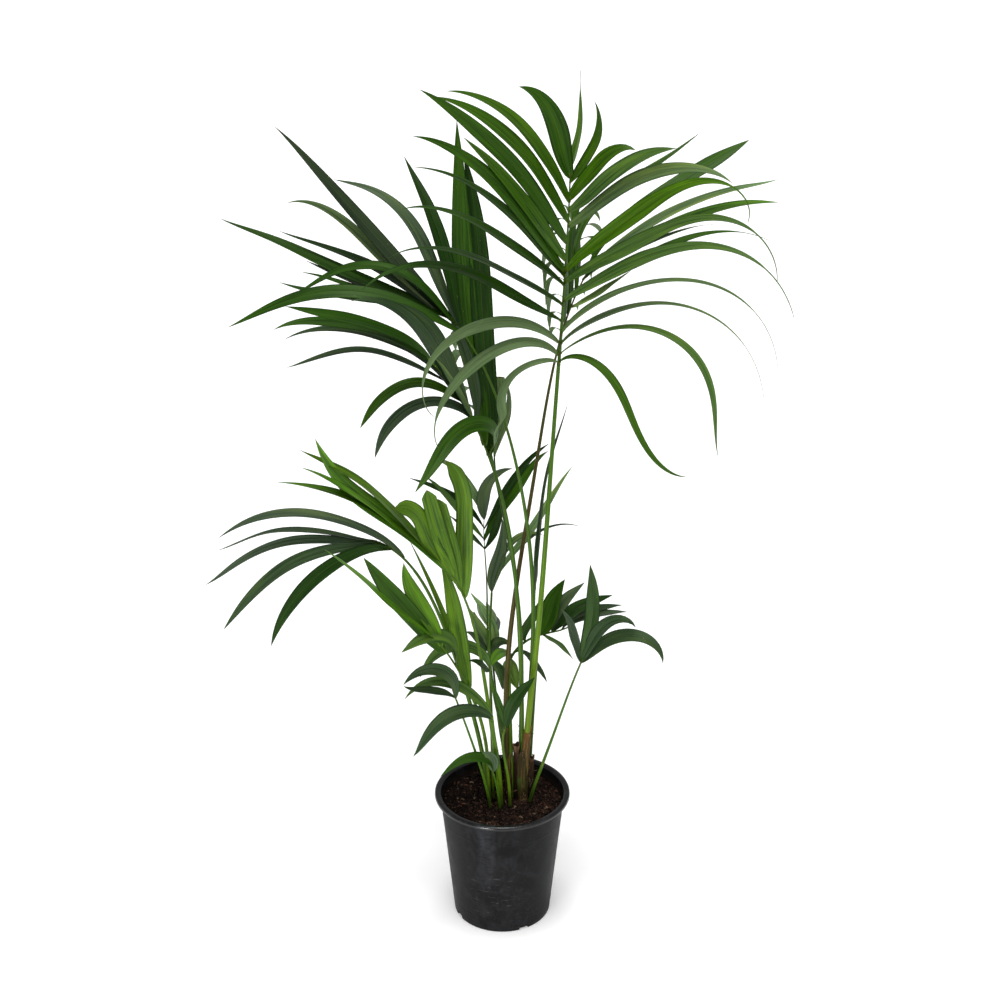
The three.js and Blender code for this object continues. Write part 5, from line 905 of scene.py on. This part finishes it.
def sheath(name, line, u0, u1, radius, deep, seed, mat, turn=(0.0, 1.0), torn=0.014, lean=0.0, curl=0.0, widen=(1.0, 1.0), spike=(0.0, 0.3, 0.0)):
    """A sheath round a shoot: a thin wall with raised fibres, whose upper edge is torn to points.
    turn is the share of the girth that it covers, curl rolls its upper edge outwards."""
    length = np.sum(np.linalg.norm(np.diff(line, axis=0), axis=1))
    sides = int(96 * (turn[1] - turn[0])) or 96
    n = max(24, int(length * (u1 - u0) / 0.0016))
    us = np.linspace(u0, u1, n)
    P = smooth(line, us)
    T = unit(smooth(line, np.minimum(us + 0.01, 1)) - smooth(line, np.maximum(us - 0.01, 0)))
    A = carried(T, (1, 0, 0))
    B = np.cross(T, A)
    whole = turn[1] - turn[0] > 0.99
    ang = 2 * np.pi * np.linspace(turn[0], turn[1], sides + (0 if whole else 1), endpoint=not whole)
    a = np.repeat(ang[None], n, 0)
    q = np.linspace(0, 1, n)[:, None]
    top = 1 - torn / (length * (u1 - u0)) * (0.5 + 0.5 * grain(np.stack([ang * 2.3, ang * 0, ang * 0 + seed], 1), seed)[None]
                                           + 0.45 * np.abs(grain(np.stack([ang * 9, ang * 0 + 4, ang * 0], 1), seed)[None]))
    off = np.abs((ang - spike[0] + np.pi) % (2 * np.pi) - np.pi)
    top = top + spike[2] / (length * (u1 - u0)) * (np.clip(1 - off / spike[1], 0, 1) ** 1.5 - 1)[None]
    h = q * top                     # share of the height at which each point sits
    hh = u0 + (u1 - u0) * h
    r = radius(h) + 0 * h
    z = h * length * (u1 - u0)
    pts = np.stack([np.cos(a) * 5.0, np.sin(a) * 5.0, z * 26 + 0 * a], 2).reshape(-1, 3)
    big = grain(pts, seed).reshape(a.shape)
    fine = grain(np.stack([a * 11, z * 50 + 0 * a, a * 0 + 1.5], 2).reshape(-1, 3), seed + 1).reshape(a.shape)
    hair = grain(np.stack([a * 24, z * 90 + 0 * a, a * 0 + 8.5], 2).reshape(-1, 3), seed + 2).reshape(a.shape)
    scars = 0
    for k, (at, wide) in enumerate(((0.22, 0.05), (0.46, 0.06), (0.70, 0.05))):
        edge = at + 0.035 * grain(np.stack([a * 1.6, a * 0 + k, a * 0], 2).reshape(-1, 3), seed + 5).reshape(a.shape)
        scars = scars + step(edge + wide, edge, h) * step(edge - 0.20, edge, h) * 1.0
    out = deep * (0.9 * big + 0.55 * fine + 0.35 * hair + 0.9 * scars)
    out = out + curl * step(0.72, 1.0, h) ** 2 * (0.6 + 0.5 * big)
    r = r + out
    base = smooth(line, hh.ravel()).reshape(n, -1, 3)
    Ah, Bh = A[:, None], B[:, None]
    ca, sa = (np.cos(a) * widen[0])[..., None], (np.sin(a) * widen[1])[..., None]
    outer = base + Ah * ca * r[..., None] + Bh * sa * r[..., None]
    inner = base + Ah * ca * (r - 0.0012)[..., None] + Bh * sa * (r - 0.0012)[..., None]
    b = Build()
    m = a.shape[1]
    verts = np.concatenate([outer.reshape(-1, 3), inner.reshape(-1, 3)])
    faces, corners = [], {k: [] for k in b.uv}
    girth = 2 * np.pi * float(radius(np.array([0.0]))[0])
    span = m if whole else m - 1

    def spot(i, k, inside):
        f = turn[0] + (turn[1] - turn[0]) * k / span
        corners["Blade"].append((h[i, k % m] * length * (u1 - u0), f * girth))
        corners["Place"].append((h[i, k % m], f * 2 - 1))
        corners["OFBake"].append((0.02 + 0.96 * f, (1 if inside else 0) + 0.03 + 0.94 * q[i, 0]))

    def face(ids):
        faces.append(tuple((m * n if inside else 0) + i * m + k % m for i, k, inside in ids))
        for i, k, inside in ids:
            spot(i, k, inside)

    for i in range(n - 1):
        for k in range(span):
            face([(i, k, 0), (i, k + 1, 0), (i + 1, k + 1, 0), (i + 1, k, 0)])
            face([(i + 1, k, 1), (i + 1, k + 1, 1), (i, k + 1, 1), (i, k, 1)])
    for k in range(span):
        face([(n - 1, k, 0), (n - 1, k + 1, 0), (n - 1, k + 1, 1), (n - 1, k, 1)])
        face([(0, k, 1), (0, k + 1, 1), (0, k + 1, 0), (0, k, 0)])
    if not whole:
        for i in range(n - 1):
            face([(i, 0, 1), (i, 0, 0), (i + 1, 0, 0), (i + 1, 0, 1)])
            face([(i, m - 1, 0), (i, m - 1, 1), (i + 1, m - 1, 1), (i + 1, m - 1, 0)])
    b.rows = 2
    b.add(verts, faces, [0] * len(faces), corners)
    ob = b.make(name, [mat])
    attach(ob, "root")
    return ob


brown_sheath = sheath_material("sheath_brown", [(0.0, (116, 98, 70)), (0.18, (94, 82, 46)), (0.45, (88, 76, 38)), (0.70, (84, 68, 38)),
                                                (0.84, (96, 70, 38)), (1.0, (110, 76, 42))], False)
olive_sheath = sheath_material("sheath_olive", [(0.0, (108, 88, 60)), (0.12, (74, 58, 32)), (0.34, (66, 66, 30)), (0.6, (58, 50, 26)),
                                                (0.85, (44, 40, 24)), (1.0, (78, 60, 40))], True)
second_sheath = sheath_material("sheath_second", [(0.0, (40, 28, 20)), (0.3, (52, 38, 24)), (0.6, (70, 58, 30)), (0.85, (86, 80, 36)),
                                                  (1.0, (84, 70, 40))], False)
straw = sheath_material("sheath_straw", [(0.0, (132, 112, 84)), (1.0, (168, 148, 116))], False)
dead_sheath = sheath_material("sheath_dead", [(0.0, (28, 20, 14)), (0.5, (36, 25, 16)), (0.85, (52, 37, 25)), (1.0, (98, 80, 60))], False)


def through(*points):
    return smooth(np.array(points, float), np.linspace(0, 1, 33))


trunk = sheath("sheath_main", through((0.0370, 0.0018, 0.2236), (0.0382, 0.0014, 0.2740), (0.0411, 0.0008, 0.3240), (0.0453, 0.0005, 0.3850)),
               0.0, 1.0, lambda h: 0.0074 - 0.0008 * h, 0.00045, 11, brown_sheath, torn=0.005, spike=(-0.25, 0.5, 0.012))
outer = sheath("sheath_outer", through((0.0362, 0.0036, 0.2236), (0.0350, 0.0040, 0.2700), (0.0362, 0.0050, 0.3400)), 0.0, 1.0,
               lambda h: 0.0082 + 0.0029 * np.sin(h * 2.5), 0.0006, 19, olive_sheath, torn=0.014, widen=(1.0, 1.1), curl=0.0008)
for ob in (trunk, outer):
    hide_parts("stem_main")
second = sheath("sheath_second", through((0.0128, 0.0108, 0.2236), (0.0122, 0.0112, 0.2740), (0.0112, 0.0125, 0.3230)), 0.0, 1.0,
                lambda h: 0.0086 - 0.0012 * h, 0.0005, 23, second_sheath, torn=0.012)
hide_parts("stem_second")
b = Build()
leafbase = through((0.0165, 0.0075, 0.2236), (0.0158, 0.0090, 0.2900), (0.0142, 0.0145, 0.3600), (0.0128, 0.0225, 0.4400), (0.0135, 0.0300, 0.5100))
tube(b, leafbase, 0.0, 1.0, lambda u: 0.0043 - 0.0032 * u ** 2.5, 16, 0.005, 0, ridges=0.12)
ob = b.make("petiole_second_side", [bark_mats["lime"]])
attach(ob, "root")
for i, (a, c, d, r, seed, curl, torn) in enumerate((
        ((0.0272, 0.0030, 0.2236), (0.0262, 0.0010, 0.2900), (0.0246, -0.0010, 0.3440), 0.0050, 31, 0.0022, 0.005),
        ((0.0500, 0.0060, 0.2236), (0.0512, 0.0050, 0.2700), (0.0516, 0.0040, 0.3200), 0.0036, 37, 0.0016, 0.010),
        ((-0.0005, -0.0135, 0.2236), (-0.0020, -0.0132, 0.2440), (-0.0035, -0.0130, 0.2640), 0.0046, 43, 0.0012, 0.010))):
    ob = sheath("sheath_dead_" + "abc"[i], through(a, c, d), 0.0, 1.0, lambda h, r=r: r + 0.0006 * h, 0.0006, seed, dead_sheath,
                torn=torn, curl=curl)

# loose fibres along the sheaths
rng = np.random.default_rng(5)
b = Build()
for i in range(70):
    on_main = i < 48
    cx, cy, r0, zlo, zhi = (0.0395, 0.006, 0.0118, 0.235, 0.375) if on_main else (0.010, 0.013, 0.0095, 0.235, 0.325)
    a = rng.uniform(0, 2 * np.pi)
    z = rng.uniform(zlo, zhi)
    p = np.array([cx + r0 * math.cos(a), cy + r0 * math.sin(a) * 1.1, z])
    d = np.array([math.cos(a) * rng.uniform(0.1, 0.9), math.sin(a) * rng.uniform(0.1, 0.9), rng.uniform(-0.6, 1.0)])
    d /= np.linalg.norm(d)
    ln = rng.uniform(0.006, 0.020)
    bend = rng.normal(0, 0.35, 3)
    pts = np.array([p + d * ln * t + bend * ln * t * t for t in np.linspace(0, 1, 12)])
    tube(b, pts, 0.0, 1.0, lambda u: 0.00032 * (1.1 - 0.7 * u), 5, 0.0016, int(i % 3 == 0), 0)
fibres = b.make("sheath_fibres", [dead_sheath, straw])
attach(fibres, "root")

# ------------------------------------------------------------------ soil
def wall_radius(z):
    return POT_FOOT_RADIUS + (POT_TOP_RADIUS - POT_FOOT_RADIUS) * z / (POT_HEIGHT - LIP_HEIGHT)


SOIL_RADIUS = wall_radius(SOIL_TOP) - POT_WALL - 0.0003


def soil_height(x, y):
    p = np.stack([x * 60, y * 60, x * 0 + 3], 1)
    q = np.stack([x * 210, y * 210, x * 0 + 9], 1)
    r = np.hypot(x, y) / SOIL_RADIUS
    return SOIL_TOP - 0.0035 + 0.0022 * grain(p, 3) + 0.0014 * grain(q, 4) - 0.0015 * step(0.85, 1.0, r)


def soil_material(name, dark, light, scale=1.0):
    s = Nodes(name)
    p = s.place()
    big = s.noise(p, 90.0 * scale, 4.0, 0.6)
    fine = s.noise(p, 620.0 * scale, 5.0, 0.7)
    cell = s.cells(p, 260.0 * scale)
    c = s.mix(s.ramp(fine, 0.35, 0.7), lin(dark), lin(light))
    c = s.mix(s.ramp(big, 0.40, 0.62, 0.55, 0.0), c, lin((18, 12, 9)))
    c = s.mix(s.ramp(s.noise(p, 1500.0, 2.0), 0.68, 0.76, 0.0, 0.6), c, lin((168, 140, 110)))
    return s.finish(c, s.ramp(fine, 0.3, 0.7, 0.78, 0.96), s.math("ADD", fine, s.math("MULTIPLY", cell, 0.8)), depth=0.0016,
                    strength=0.9, specular=0.10)


soil_ground = soil_material("soil_ground", (8, 5, 4), (22, 14, 10))
crumb_mats = [soil_material("crumb_black", (10, 8, 6), (26, 19, 15), 1.6), soil_material("crumb_brown", (44, 29, 22), (84, 59, 46), 1.6),
              soil_material("crumb_red", (70, 45, 35), (124, 88, 70), 1.6), soil_material("crumb_dark", (20, 13, 10), (44, 30, 23), 1.6),
              soil_material("crumb_straw", (116, 92, 76), (168, 142, 118), 1.6)]

b = Build()
n, m = 90, 220
rr = np.concatenate([[0.0], np.linspace(0.0012, SOIL_RADIUS, n)])
verts = [(0, 0, float(soil_height(np.array([0.0]), np.array([0.0]))[0]))]
for r in rr[1:]:
    a = 2 * np.pi * np.arange(m) / m
    x, y = r * np.cos(a), r * np.sin(a)
    verts += list(zip(x, y, soil_height(x, y)))
low = len(verts)
foot_r = wall_radius(POT_FLOOR + 0.0003) - POT_WALL - 0.0003
a = 2 * np.pi * np.arange(m) / m
verts += list(zip(foot_r * np.cos(a), foot_r * np.sin(a), np.full(m, POT_FLOOR + 0.0003)))
faces = [(0, 1 + k, 1 + (k + 1) % m) for k in range(m)]
for i in range(len(rr) - 2):
    o, p = 1 + i * m, 1 + (i + 1) * m
    faces += [(o + k, p + k, p + (k + 1) % m, o + (k + 1) % m) for k in range(m)]
o = 1 + (len(rr) - 2) * m
faces += [(o + k, low + k, low + (k + 1) % m, o + (k + 1) % m) for k in range(m)]
faces.append(tuple(low + k for k in reversed(range(m))))
mesh = bpy.data.meshes.new("soil_bed")
mesh.from_pydata([tuple(map(float, v)) for v in verts], [], faces)
mesh.materials.append(soil_ground)
mesh.polygons.foreach_set("use_smooth", np.ones(len(faces), bool))
mesh.update()
bed = bpy.data.objects.new("soil_bed", mesh)
scene.collection.objects.link(bed)
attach(bed, "root")
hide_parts("soil")

CUBE = np.array([(x, y, z) for x in (-1, 1) for y in (-1, 1) for z in (-1, 1)], float)
CUBE_FACES = [(0, 1, 3, 2), (4, 6, 7, 5), (0, 4, 5, 1), (2, 3, 7, 6), (0, 2, 6, 4), (1, 5, 7, 3)]


def turned(rng):
    q = rng.normal(size=4)
    q /= np.linalg.norm(q)
    w, x, y, z = q
    return np.array([[1 - 2 * (y * y + z * z), 2 * (x * y - z * w), 2 * (x * z + y * w)],
                     [2 * (x * y + z * w), 1 - 2 * (x * x + z * z), 2 * (y * z - x * w)],
                     [2 * (x * z - y * w), 2 * (y * z + x * w), 1 - 2 * (x * x + y * y)]])


rng = np.random.default_rng(17)
verts, faces, mats = [], [], []
for i in range(5600):
    r = SOIL_RADIUS * math.sqrt(rng.uniform(0, 1)) * 0.985
    a = rng.uniform(0, 2 * np.pi)
    big = rng.uniform() ** 2.2
    size = np.array([rng.uniform(0.0012, 0.0029) + 0.0036 * big, rng.uniform(0.0007, 0.0018) + 0.0020 * big, rng.uniform(0.0004, 0.0014)])
    r = min(r, SOIL_RADIUS - size[0] * 1.1)
    x, y = r * math.cos(a), r * math.sin(a)
    R = turned(rng)
    if rng.uniform() < 0.45:            # many lie rather flat
        R = R * np.array([[1.0], [1.0], [0.35]])
        R = np.linalg.svd(R)[0] @ np.linalg.svd(R)[2]
    c = CUBE * (1 + rng.uniform(-0.38, 0.22, (8, 3)))
    p = (c * size) @ R.T
    z = float(soil_height(np.array([x]), np.array([y]))[0]) + rng.uniform(-0.2, 1.2) * size[2] + 0.0008
    p = p + np.array([x, y, z])
    o = len(verts)
    verts += [tuple(map(float, v)) for v in p]
    faces += [tuple(o + k for k in f) for f in CUBE_FACES]
    # painted shade: crumbs are dealt darker towards the left and the back, where the pot wall and the plants shade the
    # soil
    painted_lit_share = 0.5 + 0.5 * x / SOIL_RADIUS - 0.35 * y / SOIL_RADIUS
    kind = rng.uniform()
    if kind < 0.44 - 0.26 * painted_lit_share:
        t = 0
    elif kind < 0.84 - 0.34 * painted_lit_share:
        t = 3
    elif kind < 0.93:
        t = 1
    elif kind < 0.985:
        t = 2
    else:
        t = 4
    mats += [t] * 6
mesh = bpy.data.meshes.new("soil_crumbs")
mesh.from_pydata(verts, [], faces)
for q in crumb_mats:
    mesh.materials.append(q)
mesh.polygons.foreach_set("material_index", np.array(mats, np.int32))
mesh.update()
crumbs = bpy.data.objects.new("soil_crumbs", mesh)
scene.collection.objects.link(crumbs)
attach(crumbs, "root")

# root and bark fibres lying on the soil
b = Build()
for i in range(420):
    r = (SOIL_RADIUS - 0.008) * math.sqrt(rng.uniform(0, 1))
    a = rng.uniform(0, 2 * np.pi)
    x, y = r * math.cos(a), r * math.sin(a)
    d = rng.uniform(0, 2 * np.pi)
    ln = rng.uniform(0.004, 0.014)
    k = rng.normal(0, 0.5)
    t = np.linspace(0, 1, 10)
    px = x + ln * t * math.cos(d) - k * ln * t * t * math.sin(d)
    py = y + ln * t * math.sin(d) + k * ln * t * t * math.cos(d)
    rad2 = np.hypot(px, py)
    s = np.minimum(1, (SOIL_RADIUS - 0.001) / np.maximum(rad2, 1e-6))
    px, py = px * s, py * s
    pz = soil_height(px, py) + 0.0013 + 0.0012 * np.sin(np.pi * t) * rng.uniform(0, 1)
    tube(b, np.stack([px, py, pz], 1), 0.0, 1.0, lambda u: 0.00022 * (1.2 - 0.6 * u), 4, 0.0018, int(rng.uniform() < 0.35), 0)
strands = b.make("soil_fibres", [crumb_mats[2], crumb_mats[4]])
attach(strands, "root")

# ------------------------------------------------------------------ pot
def plastic_material():
    s = Nodes("pot_plastic")
    p = s.place()
    x, y, z = s.split(p)
    around = s.math("ARCTAN2", y, x)
    mottled = s.noise(p, 14.0, 4.0, 0.6)
    drag = s.noise(s.vec(s.math("MULTIPLY", around, 5.0), s.math("MULTIPLY", z, 30.0), 2.0), 1.0, 5.0, 0.7, 0.6)
    ring = s.noise(s.vec(s.math("MULTIPLY", around, 0.7), s.math("MULTIPLY", z, 420.0), 5.0), 1.0, 2.0, 0.5)
    scratch = s.noise(s.vec(s.math("MULTIPLY", around, 7.0), s.math("MULTIPLY", z, 700.0), 11.0), 1.0, 3.0, 0.5, 0.3)
    scratch_v = s.noise(s.vec(s.math("MULTIPLY", around, 210.0), s.math("MULTIPLY", z, 22.0), 13.0), 1.0, 3.0, 0.5, 0.3)
    dust = s.noise(p, 210.0, 5.0, 0.75)
    grit = s.noise(p, 900.0, 3.0, 0.7)
    c = s.mix(s.ramp(mottled, 0.35, 0.7), lin((9, 9, 10)), lin((20, 20, 21)))
    c = s.mix(s.ramp(drag, 0.42, 0.70, 0.0, 0.50), c, lin((38, 39, 41)))
    # painted highlight left of the middle of the front, strongest under the lip, broken up by the scratch and drag
    # noise
    painted_highlight = s.math("MULTIPLY", s.ramp(s.math("ABSOLUTE", s.math("ADD", around, 1.84)), 0.20, 0.03), s.ramp(z, 0.05, 0.21))
    painted_highlight = s.math("MULTIPLY", painted_highlight, s.ramp(s.math("ADD", s.math("MULTIPLY", scratch, 0.5), s.math("MULTIPLY", drag, 0.5)), 0.34, 0.60))
    # the painted highlight mixes a lighter grey into the plastic
    c = s.mix(s.math("MULTIPLY", painted_highlight, 0.50), c, lin((52, 54, 58)))
    zone = s.ramp(mottled, 0.42, 0.54)
    band = s.math("MULTIPLY", s.ramp(z, 0.15, 0.11), s.ramp(z, 0.02, 0.06))
    band = s.math("MULTIPLY", band, s.ramp(s.math("ABSOLUTE", s.math("ADD", around, 1.75)), 0.60, 0.25))
    short = s.noise(s.vec(s.math("MULTIPLY", around, 4.5), s.math("MULTIPLY", z, 330.0), 21.0), 1.0, 2.0, 0.5, 0.2)
    c = s.mix(s.math("MULTIPLY", s.math("MULTIPLY", s.ramp(short, 0.60, 0.74), band), 0.40), c, lin((92, 94, 97)))
    c = s.mix(s.math("MULTIPLY", s.ramp(scratch, 0.62, 0.72, 0.0, 0.40), zone), c, lin((60, 64, 68)))
    c = s.mix(s.math("MULTIPLY", s.ramp(scratch_v, 0.70, 0.80, 0.0, 0.35), zone), c, lin((70, 74, 78)))
    c = s.mix(s.math("MULTIPLY", s.ramp(dust, 0.60, 0.74, 0.0, 0.30), s.ramp(z, 0.16, 0.02)), c, lin((128, 124, 116)))
    c = s.mix(s.math("MULTIPLY", s.ramp(grit, 0.72, 0.78, 0.0, 0.3), s.ramp(dust, 0.5, 0.62)), c, lin((150, 146, 136)))
    # soil dust on the inside of the wall
    away = s.math("SQRT", s.math("ADD", s.math("MULTIPLY", x, x), s.math("MULTIPLY", y, y)))
    slope = (POT_TOP_RADIUS - POT_FOOT_RADIUS) / (POT_HEIGHT - LIP_HEIGHT)
    inside = s.ramp(s.math("SUBTRACT", away, s.math("ADD", s.math("MULTIPLY", z, slope), POT_FOOT_RADIUS)), -0.0008, -0.0016)
    inside = s.math("MULTIPLY", inside, s.ramp(z, 0.236, 0.228))
    c = s.mix(s.math("MULTIPLY", inside, s.ramp(dust, 0.35, 0.7, 0.15, 0.75)), c, lin((44, 32, 25)))
    rough = s.ramp(mottled, 0.35, 0.68, 0.42, 0.54)
    rough = s.math("ADD", rough, s.math("MULTIPLY", s.ramp(drag, 0.4, 0.7), 0.10))
    height = s.math("ADD", s.math("MULTIPLY", ring, 0.8), s.math("MULTIPLY", s.math("ADD", scratch, grit), 0.25))
    lip = s.ramp(z, 0.2370, 0.2384)
    rough = s.math("SUBTRACT", rough, s.math("MULTIPLY", lip, 0.28))
    m = s.finish(c, rough, height, depth=0.0005, strength=0.35, specular=0.16)
    s.link(s.math("ADD", s.math("MULTIPLY", lip, 0.26), 0.085), s.b.inputs["Specular IOR Level"])
    return m


plastic = plastic_material()
W = wall_radius
LIP_FOOT = POT_HEIGHT - LIP_HEIGHT
profile = [(0.0, POT_FLOOR), (0.060, POT_FLOOR), (W(POT_FLOOR) - POT_WALL - 0.004, POT_FLOOR), (W(0.006) - POT_WALL - 0.0006, 0.0042),
           (W(0.010) - POT_WALL, 0.010), (W(0.060) - POT_WALL, 0.060), (W(0.12) - POT_WALL, 0.12), (W(0.18) - POT_WALL, 0.18),
           (W(0.2280) - POT_WALL, 0.2280), (W(0.2350) - POT_WALL, 0.2350),
           (0.1079, 0.2395), (0.1084, 0.2418), (0.1094, 0.2438), (0.1112, 0.2449), (0.1135, 0.2453), (0.1160, 0.2453), (0.1178, 0.2449),
           (0.1191, 0.2440), (0.1198, 0.2427), (0.1200, 0.2410), (0.1200, 0.2396), (0.1197, 0.2386), (0.1189, 0.2384), (0.1180, 0.2388),
           (0.1174, 0.2394), (0.1150, 0.2398), (0.1120, 0.2394), (0.1106, 0.2386), (W(0.2370) + 0.0001, 0.2368),
           (W(0.2310) + 0.0001, 0.2310), (W(0.2240), 0.2240), (W(0.2140), 0.2140), (W(0.2010), 0.2010),
           (W(0.2002), 0.2002), (W(0.1996) + 0.00022, 0.1996), (W(0.1986) + 0.00022, 0.1986), (W(0.1980), 0.1980), (W(0.1972), 0.1972),
           (W(0.185), 0.185), (W(0.15), 0.15), (W(0.11), 0.11), (W(0.07), 0.07), (W(0.0290), 0.0290), (W(0.0282), 0.0282),
           (W(0.0277) + 0.0002, 0.0277), (W(0.0267) + 0.0002, 0.0267), (W(0.0262), 0.0262), (W(0.0254), 0.0254), (W(0.012), 0.012), (W(0.0030), 0.0030), (POT_FOOT_RADIUS - 0.0004, 0.0012), (POT_FOOT_RADIUS - 0.0012, 0.0003),
           (POT_FOOT_RADIUS - 0.0024, 0.0), (POT_FOOT_RADIUS - 0.006, 0.0), (0.060, 0.0), (0.0, 0.0)]
m = 192
verts = [(0, 0, profile[0][1])]
rings = profile[1:-1]
for r, z in rings:
    a = 2 * np.pi * np.arange(m) / m
    verts += list(zip(r * np.cos(a), r * np.sin(a), np.full(m, z)))
verts.append((0, 0, profile[-1][1]))
faces = [(0, 1 + k, 1 + (k + 1) % m) for k in range(m)]
for i in range(len(rings) - 1):
    o, p = 1 + i * m, 1 + (i + 1) * m
    faces += [(o + k, p + k, p + (k + 1) % m, o + (k + 1) % m) for k in range(m)]
o = 1 + (len(rings) - 1) * m
faces += [(o + k, len(verts) - 1, o + (k + 1) % m) for k in range(m)]
mesh = bpy.data.meshes.new("pot_shell")
mesh.from_pydata([tuple(map(float, v)) for v in verts], [], faces)
mesh.materials.append(plastic)
mesh.update()
shell = bpy.data.objects.new("pot_shell", mesh)
scene.collection.objects.link(shell)


def rounded_box(size, bevel):
    sx, sy, sz = size
    outline2 = []
    for cx, cy, a0 in ((sy - bevel, sz - bevel, 0), (-sy + bevel, sz - bevel, 90), (-sy + bevel, -sz + bevel, 180), (sy - bevel, -sz + bevel, 270)):
        for a in (0, 30, 60, 90):
            t = math.radians(a0 + a)
            outline2.append((cx + bevel * math.cos(t), cy + bevel * math.sin(t)))
    k = len(outline2)
    vs = [(-sx, y, z) for y, z in outline2] + [(sx, y, z) for y, z in outline2]
    fs = [(i, (i + 1) % k, k + (i + 1) % k, k + i) for i in range(k)]
    return vs, fs + [tuple(reversed(range(k))), tuple(range(k, 2 * k))]


cutters = []
for turn in NOTCH_TURNS:
    vs, fs = rounded_box((0.013, NOTCH_WIDTH / 2, NOTCH_HEIGHT), 0.0022)
    a = math.radians(turn - 90)
    r = POT_FOOT_RADIUS + 0.001
    me = bpy.data.meshes.new("notch")
    me.from_pydata([((x + r) * math.cos(a) - y * math.sin(a), (x + r) * math.sin(a) + y * math.cos(a), z) for x, y, z in vs], [], fs)
    me.update()
    c = bpy.data.objects.new("notch", me)
    scene.collection.objects.link(c)
    cutters.append(c)
    mod = shell.modifiers.new("notch", "BOOLEAN")
    mod.operation, mod.solver, mod.object = "DIFFERENCE", "EXACT", c
dg = bpy.context.evaluated_depsgraph_get()
cut = bpy.data.meshes.new_from_object(shell.evaluated_get(dg))
shell.modifiers.clear()
shell.data = cut
shell.data.name = "pot_shell"
for c in cutters:
    bpy.data.objects.remove(c)
cut.materials.clear()
cut.materials.append(plastic)
cut.polygons.foreach_set("material_index", np.zeros(len(cut.polygons), np.int32))
cut.polygons.foreach_set("use_smooth", np.ones(len(cut.polygons), bool))
cut.set_sharp_from_angle(angle=math.radians(38))
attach(shell, "root")
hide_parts("pot")

# ------------------------------------------------------------------ floor
mesh = bpy.data.meshes.new("floor")
mesh.from_pydata([(-30, -30, 0), (30, -30, 0), (30, 60, 0), (-30, 60, 0)], [], [(0, 1, 2, 3)])
s = Nodes("floor_paper")
s.link(s.mix(s.noise(s.place(), 3.0, 2.0), (0.86, 0.86, 0.86), (0.88, 0.88, 0.88)), s.b.inputs["Base Color"])
s.b.inputs["Roughness"].default_value = 0.9
s.b.inputs["Specular IOR Level"].default_value = 0.1
s.b.inputs["Emission Color"].default_value = (1.0, 1.0, 1.0, 1.0)
s.b.inputs["Emission Strength"].default_value = 0.20
mesh.materials.append(s.m)
floor = bpy.data.objects.new("floor", mesh)
scene.collection.objects.link(floor)
floor.location.z = -0.0002
floor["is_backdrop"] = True

low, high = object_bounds()
